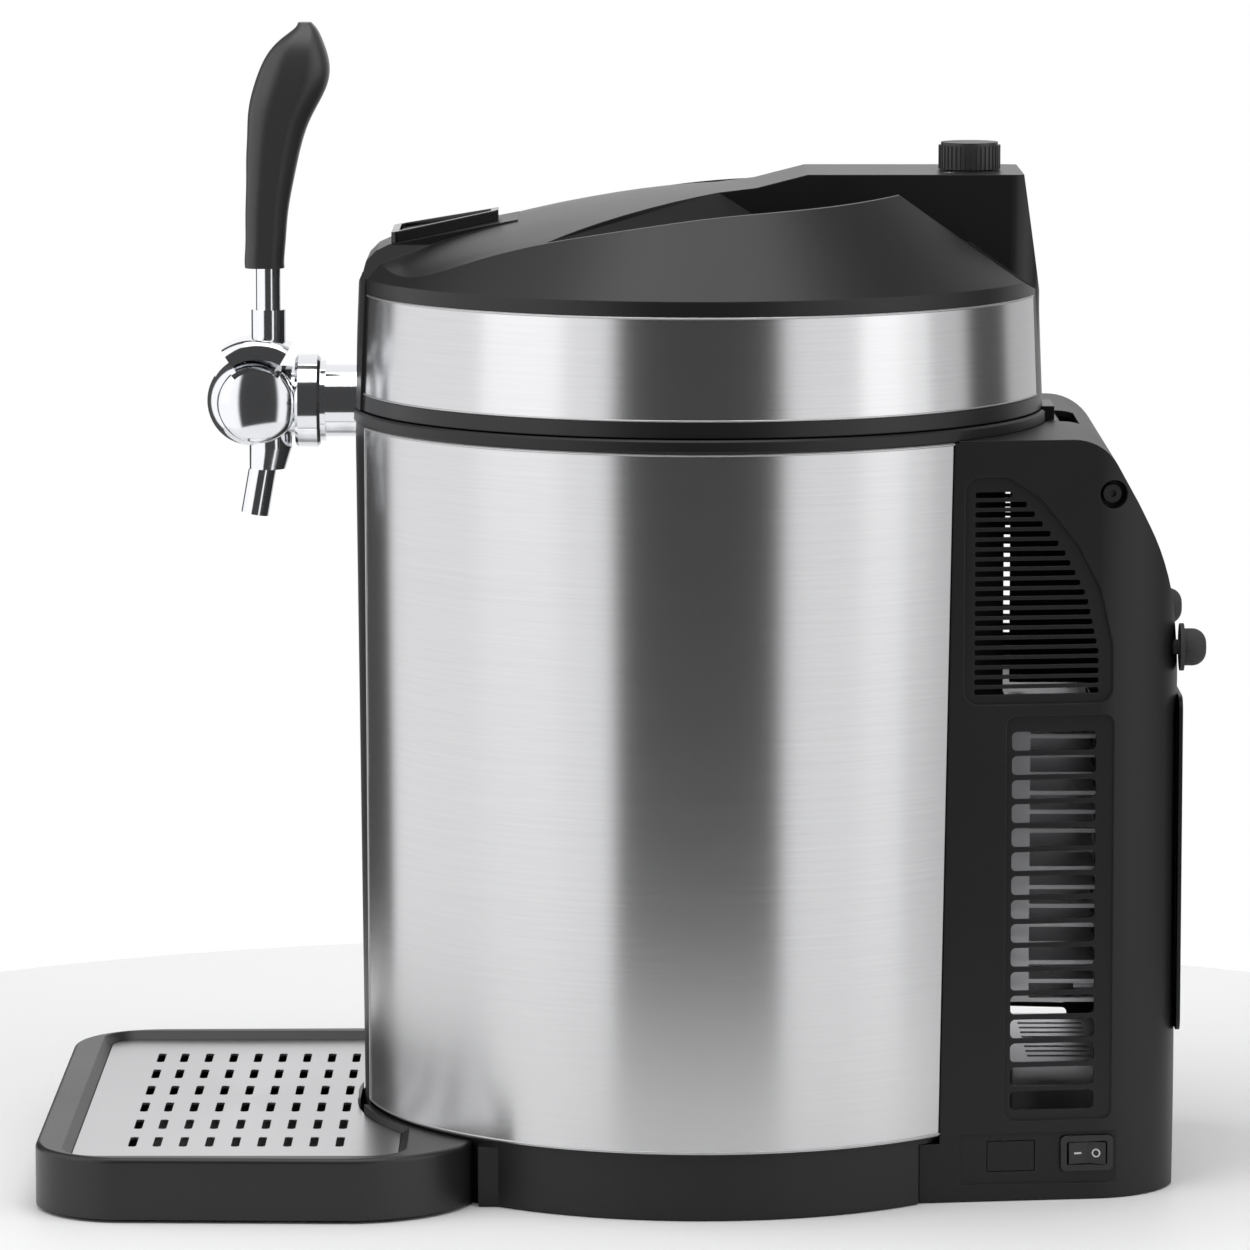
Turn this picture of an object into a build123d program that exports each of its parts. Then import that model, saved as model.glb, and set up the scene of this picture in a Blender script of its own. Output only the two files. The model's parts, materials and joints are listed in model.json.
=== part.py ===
from build123d import *

import math
import os

# Counter-top beer dispenser for one 5 litre mini keg.
# Frame: +Z up, the tap faces -Y, +X is the side with the power switch.
# Everything is drawn about the keg's axis and moved along Y as it is written out,
# so that the origin lies on the floor under the middle of the whole machine.
# All sizes are in millimetres.

# ---- Clearances
GAP = 0.3
RUNNING = 0.05
FAR = 600.0

# ---- Keg and the well it stands in
KEG_DIAMETER = 163.0
KEG_HEIGHT = 250.0
KEG_GAP = 4.5
WELL_WALL = 1.5
WELL_FLANGE = 11.5
WELL_FLOOR_HEIGHT = 45.0
MOUTH_HEIGHT = 3.3
WELL_RADIUS = KEG_DIAMETER / 2 + KEG_GAP
WELL_OUTER = WELL_RADIUS + WELL_WALL
WELL_TOP = WELL_FLOOR_HEIGHT + KEG_HEIGHT + MOUTH_HEIGHT

# ---- Cabinet
BODY_RADIUS_TOP = 137.0
BODY_TAPER = 2.7
BODY_RADIUS_BOTTOM = BODY_RADIUS_TOP - BODY_TAPER
BODY_TOP = WELL_TOP
SHELL_WALL = 3.0
SKIN_THICKNESS = 0.8
REAR_FLAT = 19.0
REAR_WALL_Y = BODY_RADIUS_TOP - REAR_FLAT
SKIN_SETBACK = 15.0
SKIN_REAR = REAR_WALL_Y - SKIN_SETBACK
RIM_OVERHANG = 1.0
RIM_RADIUS = BODY_RADIUS_TOP + RIM_OVERHANG
RIM_HEIGHT = 5.3
RIM_TOP = BODY_TOP + RIM_HEIGHT
RIM_INNER = WELL_OUTER + WELL_FLANGE + GAP
SPINE_HALF_TOP = 36.0
SPINE_HALF_BOTTOM = 27.0
SPINE_PROUD = 0.1
SPINE_LIP = 11.3
SPINE_LIP_THICKNESS = 1.2

# ---- Base
FOOT_RADIUS = 8.0
FOOT_STAND = 0.5
FOOT_RECESS = 1.2
BASE_THICKNESS = 3.0
PLINTH_SETBACK = 2.8
PLINTH_RADIUS = BODY_RADIUS_BOTTOM - PLINTH_SETBACK
PLINTH_HEIGHT = 26.3
PLINTH_WALL = 3.0
BASE_Z = FOOT_STAND
PLINTH_TOP = BASE_Z + PLINTH_HEIGHT
DOCK_HALF_WIDTH = PLINTH_RADIUS - 26.5
DOCK_FRONT = PLINTH_RADIUS - 44.5

# ---- Lid
LID_GAP = 0.6
LID_SETBACK = 0.8
LID_TAPER = 1.8
LID_RADIUS_BOTTOM = BODY_RADIUS_TOP - LID_SETBACK
LID_RADIUS_TOP = LID_RADIUS_BOTTOM - LID_TAPER
LID_BASE_HEIGHT = 6.0
BAND_HEIGHT = 40.0
LID_SHOULDER = 5.8
LID_WALL = 3.0
LID_SKIN = 0.7
LID_Z = RIM_TOP + LID_GAP
BAND_BOTTOM = LID_Z + LID_BASE_HEIGHT
BAND_TOP = BAND_BOTTOM + BAND_HEIGHT
SHOULDER = BAND_TOP + LID_SHOULDER
FOAM_TOP = BAND_TOP
LID_SPINE_HALF = 29.0
PROW_TOP_HALF = 22.4
PROW_PROUD = 1.2
FENDER_ANGLE = 45.0
FENDER_HEIGHT = 50.0
LINER_WALL = 3.0
LINER_STEP = 1.8
LINER_RECESS_DEPTH = 38.0
LINER_RECESS_RADIUS = RIM_INNER - 2.3
LINER_Z = LID_Z + LINER_STEP
LINER_CEILING = LID_Z + LINER_RECESS_DEPTH
SEAL_WIDTH = 6.0
SEAL_GAP = 0.4
BLOCK_HALF_WIDTH = 31.0
BLOCK_TOP = 41.2
BLOCK_FRONT = 7.0
BLOCK_REAR = LID_RADIUS_TOP - 0.6
BLOCK_CORNER = 12.0
SCOOP_FRONT = 74.4 - LID_RADIUS_TOP
SCOOP_LAND = 2.0
SCOOP_FLOOR = 14.5
SCOOP_SLOPE = 47.0
REAR_PEAK_Y = LID_RADIUS_TOP - 57.4
REAR_PEAK_RISE = 35.2
REAR_FALL = 35.6

# Crown of the lid in equal steps along Y: rise above the shoulder on the middle plane, radius across
CROWN_HALF = LID_RADIUS_TOP + 10.6
CROWN_SECTIONS = [
    (2.0, 210), (10.6, 240), (19.2, 500), (25.6, 830), (30.4, 1000), (34.0, 1100),
    (36.2, 1000), (37.4, 850), (38.0, 800), (38.4, 800), (38.8, 800),
]
CROWN_STEP = 2 * CROWN_HALF / (len(CROWN_SECTIONS) - 1)
CROWN = [(i * CROWN_STEP - CROWN_HALF, rise, radius) for i, (rise, radius) in enumerate(CROWN_SECTIONS)]

# ---- Hinge of the lid
HINGE_SETBACK = 21.5
HINGE_Y = REAR_WALL_Y + HINGE_SETBACK
HINGE_DROP = 9.0
HINGE_Z = RIM_TOP - HINGE_DROP
KNUCKLE_RADIUS = 4.5
HINGE_PIN_RADIUS = 2.0
HINGE_HALF_WIDTH = 20.0
LEAF_HALF_WIDTH = 13.0

# ---- Lid latch
LATCH_FRONT_Y = 12.4 - LID_RADIUS_TOP
LATCH_FRONT_HALF = 22.0
LATCH_REAR_HALF = 8.0
LATCH_LENGTH = 42.0
LATCH_RIM = 3.0
LATCH_ARM = 14.0
HOOK_INNER = 20.5
HOOK_OUTER = 25.5
HOOK_DEPTH = 8.0
HOOK_Y = 10.3 - LID_RADIUS_TOP
HOOK_FOOT = BODY_TOP - 6.3
HOOK_PIVOT_Y = HOOK_Y + 26.1
HOOK_PIVOT_Z = SHOULDER + 1.0
HOOK_ARM_TOP = HOOK_PIVOT_Z + 3.5
LATCH_PIN_RADIUS = 2.0

# ---- Tap
TAP_Z = BODY_TOP + 6.8
SHANK_RADIUS = 14.4
SHANK_BORE = 5.2
SHANK_FRONT = RIM_RADIUS + 10.8
SHANK_REAR = RIM_RADIUS - 20.0
NUT_RADIUS = 18.6
NUT_FRONT = RIM_RADIUS - 6.8
NUT_LENGTH = 6.0
WASHER_RADIUS = 16.0
WASHER_THICKNESS = 2.0
COLLAR_RADIUS = 18.5
COLLAR_LENGTH = 10.0
BALL_RADIUS = 18.2
BALL_Y = -SHANK_FRONT - 29.2
BALL_HALF_WIDTH = 12.0
NECK_RADIUS = 14.0
PIVOT_Y = BALL_Y + 2.5
PIVOT_RADIUS = 2.5
HUB_RADIUS = 6.0
TONGUE_HALF = 4.0
TONGUE_SPAN = 16.0
LEVER_TRAVEL = 40.0
CAP_RADIUS = 15.9
CAP_THICKNESS = 5.3
CAP_ROUNDING = 4.4
CAP_WINDOW_RADIUS = 13.1
CAP_WINDOW = (-42.0, 38.0)
YOKE_THICKNESS = 4.6
YOKE_HALF_WIDTH = 16.0
YOKE_CHEEK_RADIUS = 17.9
YOKE_ROUNDING = 4.4
YOKE_SPAN = (-34.0, 30.0)
STEM_Y = PIVOT_Y + 3.9
STEM_BOSS_RADIUS = 6.8
STEM_BOSS_TOP = TAP_Z + 36.5
STEM_RADIUS = 4.9
STEM_LENGTH = 16.6
STEM_THREAD_RADIUS = 3.4
STEM_LOWER_THREAD = 9.0
STEM_UPPER_THREAD = 15.0
HANDLE_BASE = STEM_BOSS_TOP + STEM_LENGTH
SPOUT_RADIUS = 5.5
SPOUT_BORE = 4.2
SPOUT_Y = PIVOT_Y + 1.2
SPOUT_Z = TAP_Z - 27.1
SPOUT_LENGTH = 18.4
SPOUT_LEAN = 10.0
SPOUT_BLOCK_RADIUS = 8.5
SPOUT_BLOCK_END_RADIUS = 7.2

# Handle sections from its foot up at equal steps: middle behind the stem, depth along Y, width along X
HANDLE_STEP = 8.1
HANDLE_SECTIONS = [
    (-1.3, 15.5, 15.4), (-1.1, 15.7, 16.2), (-0.7, 16.2, 17.0), (-0.2, 17.0, 18.2), (0.7, 18.2, 19.8),
    (1.6, 19.8, 21.8), (2.7, 21.4, 24.0), (4.2, 23.7, 26.4), (6.6, 27.0, 28.6), (9.5, 28.7, 29.6),
    (11.4, 26.3, 28.6), (13.1, 18.4, 23.5), (15.0, 5.0, 10.0),
]

# ---- Gas system in the lid
KNOB_Y = LID_RADIUS_TOP - 27.6
KNOB_RADIUS = 12.3
KNOB_HEIGHT = 10.6
KNOB_FLUTES = 40
REGULATOR_RADIUS = 11.0
CARTRIDGE_RADIUS = 10.9
CARTRIDGE_LENGTH = 74.0
CARTRIDGE_Z = SHOULDER + 14.0
HOLDER_WALL = 2.0
SPINDLE_RADIUS = 3.9
KNOB_GAP = 0.4
PIPE_RADIUS = 3.0
PIPE_X = 20.0
PIPE_Y = KNOB_Y - 21.8
COUPLER_RADIUS = 24.0

# ---- Cooling
COLD_BLOCK_HALF = 30.0
COOLER_RISE = 86.0
COOLER_Z = WELL_FLOOR_HEIGHT + COOLER_RISE
PELTIER_SIDE = 40.0
PELTIER_THICKNESS = 4.0
PELTIER_FRONT = REAR_WALL_Y - 0.7
HEATSINK_HALF = 60.0
HEATSINK_HEIGHT = 116.0
HEATSINK_BASE = 8.0
HEATSINK_FRONT = PELTIER_FRONT + PELTIER_THICKNESS
FIN_PITCH = 7.5
FIN_THICKNESS = 1.6
FIN_DEPTH = 26.0
FIN_ROOT = HEATSINK_FRONT + HEATSINK_BASE
FIN_TIP = FIN_ROOT + FIN_DEPTH
FAN_SIDE = 119.0
FAN_DEPTH = 25.0
FAN_BORE = 56.5
FAN_HUB = 20.0
FAN_BLADES = 7
FAN_HOLE = 52.5
SUPPLY_HALF_WIDTH = 52.0
SUPPLY_DEPTH = 42.0
SUPPLY_HEIGHT = 44.0

# ---- Rear housing
HOUSING_TOP = BODY_TOP + 0.7
HOUSING_WALL = 2.5
HOUSING_LAP = 33.0
HOUSING_DEPTH = 102.2
HOUSING_CLOSING = 13.5
HOUSING_FRONT = REAR_WALL_Y - HOUSING_LAP
HOUSING_REAR = HOUSING_FRONT + HOUSING_DEPTH
HOUSING_FRONT_HALF = BODY_RADIUS_TOP - 38.5
HOUSING_REAR_HALF = HOUSING_FRONT_HALF - HOUSING_CLOSING
HOUSING_CORNER = 38.0
WEB_HALF = 1.2
VENT_RECESS = 1.2
BUMPER_LENGTH = 10.4
BUMPER_X = HOUSING_REAR_HALF - 22.0
BUMPER_Z = HOUSING_TOP - 84.4
BUMPER_RADIUS = 7.3
BUMPER_ROUNDING = 5.5
REAR_REACH = HOUSING_REAR + BUMPER_LENGTH
FAN_WINDOW = (2.5 - FAN_SIDE / 2, FAN_SIDE / 2 - 2.5)
SWITCH_FRAME = 2.4
ROCKER_END_GAP = 0.8
ROCKER_PIVOT_DEPTH = 2.0
ROCKER_PIVOT_RADIUS = 1.2
INLET_X = (23.0 - HOUSING_REAR_HALF, 51.0 - HOUSING_REAR_HALF)
INLET_Z = (22.0, 42.0)
SCREW_Y = HOUSING_FRONT + 74.5
SCREW_Z = HOUSING_TOP - 21.5
SCREW_RADIUS = 1.8
SCREW_RECESS_RADIUS = 5.6
SCREW_RECESS_DEPTH = 6.0
PANEL_PROUD = 1.5
PANEL_HALF = FAN_WINDOW[1] + 9.0
PANEL_Z = (COOLER_Z - 69.0, COOLER_Z + 64.0)
PANEL_SLOTS = 15

# Rear of the housing from the foot of its slope up: distance in front of the rear face, height below the top, bend
REAR_SLOPE = [(0.0, 93.0, 200.0), (3.2, 61.0, 100.0), (9.5, 42.0, 100.0), (17.5, 26.0, 60.0), (31.9, 0.0, 20.0)]

# Upper vent: distance behind the housing's front, distance below its top
VENT_OUTLINE = [
    (16.5, 14.0), (33.0, 14.0), (46.0, 22.5), (61.0, 41.0), (70.0, 59.0), (74.6, 80.0), (74.8, 103.0), (16.5, 103.0),
]
UPPER_VENT = [(HOUSING_FRONT + y, HOUSING_TOP - z) for y, z in VENT_OUTLINE]
UPPER_SLOTS = 21
UPPER_SLOT_TOP = HOUSING_TOP - 21.2
UPPER_SLOT_PITCH = 3.835
UPPER_SLOT_HEIGHT = 2.3
LOWER_VENT_Y = (HOUSING_FRONT + 33.2, HOUSING_FRONT + 75.4)
LOWER_VENT_Z = (31.8, HOUSING_TOP - 107.4)
LOWER_SLOTS = 16
LOWER_SLOT_TOP = LOWER_VENT_Z[1] - 6.4
LOWER_SLOT_PITCH = (LOWER_VENT_Z[1] - LOWER_VENT_Z[0] - 8.6) / LOWER_SLOTS
LOWER_SLOT_HEIGHT = LOWER_SLOT_PITCH - 1.95
LOWER_SLOT_Y = (LOWER_VENT_Y[0] + 2.4, LOWER_VENT_Y[1] - 6.8)
SWITCH_PANEL_Y = (HOUSING_FRONT + 15.6, HOUSING_FRONT + 86.4)
SWITCH_PANEL_Z = (6.6, 27.0)
SWITCH_Y = (HOUSING_FRONT + 55.6, HOUSING_FRONT + 76.2)
SWITCH_Z = (11.4, 25.4)
BLANK_Y = (HOUSING_FRONT + 26.6, HOUSING_FRONT + 45.6)
BLANK_Z = (11.6, 24.0)

# ---- Drip tray
TRAY_STAND = 1.4
TRAY_HEIGHT = 24.1
TRAY_DEPTH = 128.0
TRAY_OVERHANG = 6.5
TRAY_NARROWING = 4.0
TRAY_WALL = 3.0
TRAY_FLOOR = 2.5
TRAY_FRONT_CORNER = 36.0
TRAY_REAR_CORNER = 50.0
TRAY_CLEARANCE = 0.9
TRAY_TOP = TRAY_STAND + TRAY_HEIGHT
TRAY_FRONT = PLINTH_RADIUS + TRAY_DEPTH
TRAY_REAR = DOCK_FRONT + TRAY_CLEARANCE
TRAY_HALF_WIDTH = PLINTH_RADIUS + TRAY_OVERHANG
GRID_THICKNESS = 1.2
GRID_DROP = 3.3
GRID_HALF_WIDTH = TRAY_HALF_WIDTH - 12.0
GRID_FRONT = TRAY_FRONT - 14.9
GRID_REAR = PLINTH_RADIUS - 13.5
GRID_CORNER = 12.0
GRID_REAR_WALL = 5.0
GRID_TOP = TRAY_TOP - GRID_DROP
GRID_ROWS = 6
GRID_COLUMNS = 8
GRID_PITCH_X = GRID_HALF_WIDTH / 3.64
GRID_PITCH_Y = 10.2
GRID_SLOT_LENGTH = GRID_PITCH_X * 0.55
GRID_SLOT_WIDTH = 3.2
GRID_LAST_COLUMN = PLINTH_RADIUS + TRAY_CLEARANCE + GRID_REAR_WALL + 3.9
GRID_FIRST_COLUMN = TRAY_FRONT - 37.2

# ---- Keg's axis, measured from the middle of the whole machine
KEG_Y = (TRAY_FRONT - REAR_REACH) / 2


# ---------------------------------------------------------------- shapes
def block(x, y, z):
    """Box between the given (low, high) pairs."""
    return Pos((x[0] + x[1]) / 2, (y[0] + y[1]) / 2, (z[0] + z[1]) / 2) * Box(x[1] - x[0], y[1] - y[0], z[1] - z[0])


def rod_x(radius, x, y, z):
    """Cylinder along X between the (low, high) pair x."""
    return Pos((x[0] + x[1]) / 2, y, z) * Rot(0, 90, 0) * Cylinder(radius, x[1] - x[0])


def rod_y(radius, y, x, z):
    """Cylinder along Y between the (low, high) pair y."""
    return Pos(x, (y[0] + y[1]) / 2, z) * Rot(90, 0, 0) * Cylinder(radius, y[1] - y[0])


def rod_z(radius, z, x=0.0, y=0.0):
    """Cylinder along Z between the (low, high) pair z."""
    return Pos(x, y, (z[0] + z[1]) / 2) * Cylinder(radius, z[1] - z[0])


def tube_z(outer, inner, z, x=0.0, y=0.0):
    """Tube along Z between the (low, high) pair z."""
    return rod_z(outer, z, x, y) - rod_z(inner, (z[0] - 1, z[1] + 1), x, y)


def cone_z(radius_low, radius_high, z):
    """Frustum along Z between the (low, high) pair z."""
    return Pos(0, 0, (z[0] + z[1]) / 2) * Cone(radius_low, radius_high, z[1] - z[0])


def side_prism(points, x):
    """Outline of (Y, Z) points, extruded along X between the pair x."""
    face = make_face(Polyline(*points, close=True))
    return extrude(Plane.YZ.offset(x[0]) * face, amount=x[1] - x[0])


def plan_prism(face, z):
    """Plan face extruded upwards between the pair z."""
    return extrude(Plane.XY.offset(z[0]) * face, amount=z[1] - z[0])


def both_sides(solid):
    """A shape and its mirror image across the middle plane."""
    return solid + mirror(solid, about=Plane.YZ)


def body_radius(z):
    """Outer radius of the cabinet's skin at a height."""
    part_way = (z - PLINTH_TOP) / (BODY_TOP - PLINTH_TOP)
    return BODY_RADIUS_BOTTOM + (BODY_RADIUS_TOP - BODY_RADIUS_BOTTOM) * part_way


def body_taper(inset, z):
    """Tapered solid that lies inside the skin's outer face by the inset."""
    return cone_z(body_radius(z[0]) - inset, body_radius(z[1]) - inset, z)


def lid_radius(z):
    """Outer radius of the lid's skin at a height."""
    part_way = (z - LID_Z) / (BAND_TOP - LID_Z)
    return LID_RADIUS_BOTTOM + (LID_RADIUS_TOP - LID_RADIUS_BOTTOM) * part_way


def lid_taper(inset, z):
    """Tapered solid that lies inside the lid's outer face by the inset."""
    return cone_z(lid_radius(z[0]) - inset, lid_radius(z[1]) - inset, z)


def spine_prism(margin, z):
    """Tapering upright strip at the front of the cabinet."""
    rate = (SPINE_HALF_TOP - SPINE_HALF_BOTTOM) / (BODY_TOP - PLINTH_TOP)
    low = SPINE_HALF_BOTTOM + rate * (z[0] - PLINTH_TOP) + margin
    high = SPINE_HALF_BOTTOM + rate * (z[1] - PLINTH_TOP) + margin
    face = make_face(Polyline((-low, z[0]), (low, z[0]), (high, z[1]), (-high, z[1]), close=True))
    return extrude(Plane.XZ * face, amount=FAR)


# ---------------------------------------------------------------- spaces cut from several pieces
def shank_space():
    """Room for the tap's shank and its nut, through the front of rim and lid."""
    bore = rod_y(SHANK_RADIUS + 2 * GAP, (-RIM_RADIUS - 5, -RIM_INNER + 8), 0, TAP_Z)
    return bore + rod_y(NUT_RADIUS + 1, (-NUT_FRONT - 1.2, -SHANK_REAR + 1), 0, TAP_Z)


def hook_space(z):
    """Two wells in which the latch's arms swing."""
    well = block((HOOK_INNER - 1.5, HOOK_OUTER + 1.5), (HOOK_Y - GAP - 0.1, HOOK_Y + HOOK_DEPTH + 10), z)
    return both_sides(well)


def hinge_space():
    """Pocket for the lid's hinge at the rear of the rim and the housing."""
    half = HINGE_HALF_WIDTH + 1.5
    return block((-half, half), (HINGE_Y - 12.5, HINGE_Y + 10.5), (HINGE_Z - 12, RIM_TOP + 10))


def cold_space():
    """Passage for the cold block from the well to the rear wall."""
    reach = COLD_BLOCK_HALF + GAP
    return block((-reach, reach), (WELL_RADIUS - 26, REAR_WALL_Y + 5), (COOLER_Z - reach, COOLER_Z + reach))


# ---------------------------------------------------------------- base
def foot_places():
    """Centres of the five feet."""
    front_x, front_y = PLINTH_RADIUS - 53.5, 59.5 - PLINTH_RADIUS
    rear_x, rear_y = HOUSING_REAR_HALF - 19.0, HOUSING_REAR - 37.2
    return [(-front_x, front_y), (front_x, front_y), (-rear_x, rear_y), (rear_x, rear_y), (0, 20)]


def feet():
    """Rubber discs let into the base plate."""
    top = BASE_Z + FOOT_RECESS
    return [rod_z(FOOT_RADIUS, (0, top), x, y) for x, y in foot_places()]


def base_plate():
    """Bottom plate of the whole machine."""
    inset = HOUSING_WALL + GAP
    front = Circle(PLINTH_RADIUS - PLINTH_WALL - GAP) & (Pos(0, HOUSING_FRONT - FAR / 2) * Rectangle(FAR, FAR))
    z = (BASE_Z, BASE_Z + BASE_THICKNESS)
    plate = plan_prism(front, z) + (plan_prism(housing_plan(inset), z) & housing_profile(inset))
    for x, y in foot_places():
        plate -= rod_z(FOOT_RADIUS, (BASE_Z - 1, BASE_Z + FOOT_RECESS), x, y)
    return plate


def base_plinth():
    """Recessed ring under the cabinet with the deck that carries it."""
    deck_z = PLINTH_TOP - PLINTH_WALL
    inner = PLINTH_RADIUS - PLINTH_WALL
    dock = block((-DOCK_HALF_WIDTH, DOCK_HALF_WIDTH), (-DOCK_FRONT, 27 - DOCK_FRONT), (BASE_Z, deck_z))
    dock -= rod_z(PLINTH_RADIUS - 1, (BASE_Z - 1, deck_z + 1))
    wall = rod_z(PLINTH_RADIUS, (BASE_Z, deck_z)) - rod_z(inner, (BASE_Z - 1, deck_z + 1))
    wall = (wall + dock) & block((-FAR, FAR), (-FAR, HOUSING_FRONT - GAP), (0, FAR))
    edge_z = TRAY_TOP + GAP
    deck = body_taper(SPINE_LIP_THICKNESS, (edge_z, PLINTH_TOP)) + rod_z(PLINTH_RADIUS, (deck_z, PLINTH_TOP))
    deck &= block((-FAR, FAR), (-FAR, REAR_WALL_Y), (0, FAR))
    return wall + deck


# ---------------------------------------------------------------- cabinet
def cabinet_shell():
    """Plastic casing: a tapered round wall that is flat at the rear."""
    z = (PLINTH_TOP, BODY_TOP)
    tall = (PLINTH_TOP - 1, BODY_TOP + 1)
    outer = body_taper(SKIN_THICKNESS + 0.05, z) & block((-FAR, FAR), (-FAR, REAR_WALL_Y), (0, FAR))
    inner = body_taper(SKIN_THICKNESS + SHELL_WALL, tall)
    inner &= block((-FAR, FAR), (-FAR, REAR_WALL_Y - SHELL_WALL), (0, FAR))
    return outer - inner - cold_space() - shank_space()


def side_skin(side):
    """Brushed steel wrap on one side of the cabinet; side is 1 or -1."""
    z = (PLINTH_TOP, BODY_TOP)
    wrap = body_taper(0, z) - body_taper(SKIN_THICKNESS, (z[0] - 1, z[1] + 1))
    half = block((0, FAR), (-FAR, SKIN_REAR), (0, FAR)) if side > 0 else block((-FAR, 0), (-FAR, SKIN_REAR), (0, FAR))
    return (wrap & half) - spine_prism(GAP, (z[0] - 1, z[1] + 1))


def front_spine():
    """Black strip down the front, with a lip over the plinth."""
    z = (PLINTH_TOP, BODY_TOP)
    strip = body_taper(-SPINE_PROUD, z) - body_taper(SKIN_THICKNESS - GAP / 2, (z[0] - 1, z[1] + 1))
    lip_z = (PLINTH_TOP - SPINE_LIP, PLINTH_TOP)
    lip = body_taper(-SPINE_PROUD, lip_z) - body_taper(SPINE_LIP_THICKNESS, (lip_z[0] - 1, lip_z[1] + 1))
    whole = (strip & spine_prism(0, z)) + (lip & spine_prism(0, lip_z))
    return whole - shank_space()


def top_ring():
    """Rim on top of the cabinet, round the mouth of the well."""
    ring = rod_z(RIM_RADIUS, (BODY_TOP, RIM_TOP)) - rod_z(RIM_INNER, (BODY_TOP - 1, RIM_TOP + 1))
    outer_edges = ring.edges().filter_by(GeomType.CIRCLE).filter_by(lambda e: e.radius > RIM_RADIUS - 1)
    ring = chamfer(outer_edges, 0.8)
    return ring - shank_space() - hook_space((0, FAR)) - hinge_space()


def well_liner():
    """Aluminium cup that holds the keg."""
    cup = rod_z(WELL_OUTER, (WELL_FLOOR_HEIGHT - WELL_WALL, WELL_TOP + WELL_WALL))
    cup += rod_z(WELL_OUTER + WELL_FLANGE, (WELL_TOP, WELL_TOP + WELL_WALL))
    return cup - rod_z(WELL_RADIUS, (WELL_FLOOR_HEIGHT, FAR))


def well_foam():
    """Insulation between the well and the casing."""
    z = (PLINTH_TOP, BODY_TOP)
    foam = body_taper(SKIN_THICKNESS + SHELL_WALL + GAP, z)
    foam &= block((-FAR, FAR), (-FAR, REAR_WALL_Y - SHELL_WALL - GAP), (0, FAR))
    foam -= rod_z(WELL_OUTER + GAP, (WELL_FLOOR_HEIGHT - WELL_WALL, FAR))
    return foam - cold_space() - shank_space() - hook_space((HOOK_FOOT - 5, FAR))


# ---------------------------------------------------------------- cooling
def cold_block():
    """Aluminium block between the well and the cooling element."""
    half = COLD_BLOCK_HALF
    solid = block((-half, half), (WELL_RADIUS - 16, REAR_WALL_Y - SHELL_WALL - 4), (COOLER_Z - half, COOLER_Z + half))
    side = PELTIER_SIDE / 2
    solid += block((-side, side), (REAR_WALL_Y - 18, PELTIER_FRONT), (COOLER_Z - side, COOLER_Z + side))
    return solid - rod_z(WELL_OUTER, (0, FAR))


def peltier_module():
    """Thermoelectric plate that pumps the heat outwards."""
    side = PELTIER_SIDE / 2
    return block((-side, side), (PELTIER_FRONT, HEATSINK_FRONT), (COOLER_Z - side, COOLER_Z + side))


def fin_levels():
    """Undersides of the heatsink's fins."""
    count = int((HEATSINK_HEIGHT - FIN_THICKNESS) // FIN_PITCH) + 1
    low = COOLER_Z - HEATSINK_HEIGHT / 2
    return [low + i * FIN_PITCH for i in range(count)]


def heatsink():
    """Extruded plate with level fins that point to the rear."""
    x = (-HEATSINK_HALF, HEATSINK_HALF)
    low = COOLER_Z - HEATSINK_HEIGHT / 2
    solid = block(x, (HEATSINK_FRONT, FIN_ROOT), (low, low + HEATSINK_HEIGHT))
    for z in fin_levels():
        solid += block(x, (FIN_ROOT - 1, FIN_TIP), (z, z + FIN_THICKNESS))
    return solid


def fan_frame():
    """Square frame with a hub held by four struts."""
    half = FAN_SIDE / 2
    rear = FIN_TIP + FAN_DEPTH
    frame = block((-half, half), (FIN_TIP, rear), (COOLER_Z - half, COOLER_Z + half))
    frame = fillet(frame.edges().filter_by(Axis.Y), 6)
    frame -= rod_y(FAN_BORE + 1.5, (FIN_TIP - 1, rear + 1), 0, COOLER_Z)
    struts = rod_y(FAN_HUB + 2, (rear - 4, rear), 0, COOLER_Z)
    for turn in (45, 135):
        bar = Box(2 * FAN_BORE + 6, 3.5, 5)
        struts += Pos(0, rear - 1.75, COOLER_Z) * Rot(0, turn, 0) * bar
    struts += rod_y(3, (rear - 16, rear), 0, COOLER_Z)
    frame += struts
    for x in (-FAN_HOLE, FAN_HOLE):
        for z in (-FAN_HOLE, FAN_HOLE):
            frame -= rod_y(2.2, (FIN_TIP - 1, rear + 1), x, COOLER_Z + z)
    return frame


def fan_rotor():
    """Hub with swept blades, turning on the frame's stub axle."""
    rear = FIN_TIP + FAN_DEPTH - 5
    front = FIN_TIP + 2
    rotor = rod_y(FAN_HUB, (front, rear), 0, COOLER_Z)
    for i in range(FAN_BLADES):
        blade = Box(FAN_BORE - FAN_HUB + 2, 2.0, 20)
        blade = Pos((FAN_HUB - 2 + FAN_BORE) / 2, 0, 0) * Rot(38, 0, 0) * blade
        rotor += Pos(0, (front + rear) / 2, COOLER_Z) * Rot(0, i * 360 / FAN_BLADES, 0) * blade
    return rotor - rod_y(3 + RUNNING, (front - 1, rear + 1), 0, COOLER_Z)


def fan_screws():
    """Four long screws through the fan's corners into the gaps between fins."""
    rear = FIN_TIP + FAN_DEPTH
    screws = []
    for x in (-FAN_HOLE, FAN_HOLE):
        for z in (-FAN_HOLE, FAN_HOLE):
            shank = rod_y(1.9, (FIN_TIP - 8, rear), x, COOLER_Z + z)
            screws.append(shank + rod_y(3.6, (rear, rear + 2.2), x, COOLER_Z + z))
    return screws


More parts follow.
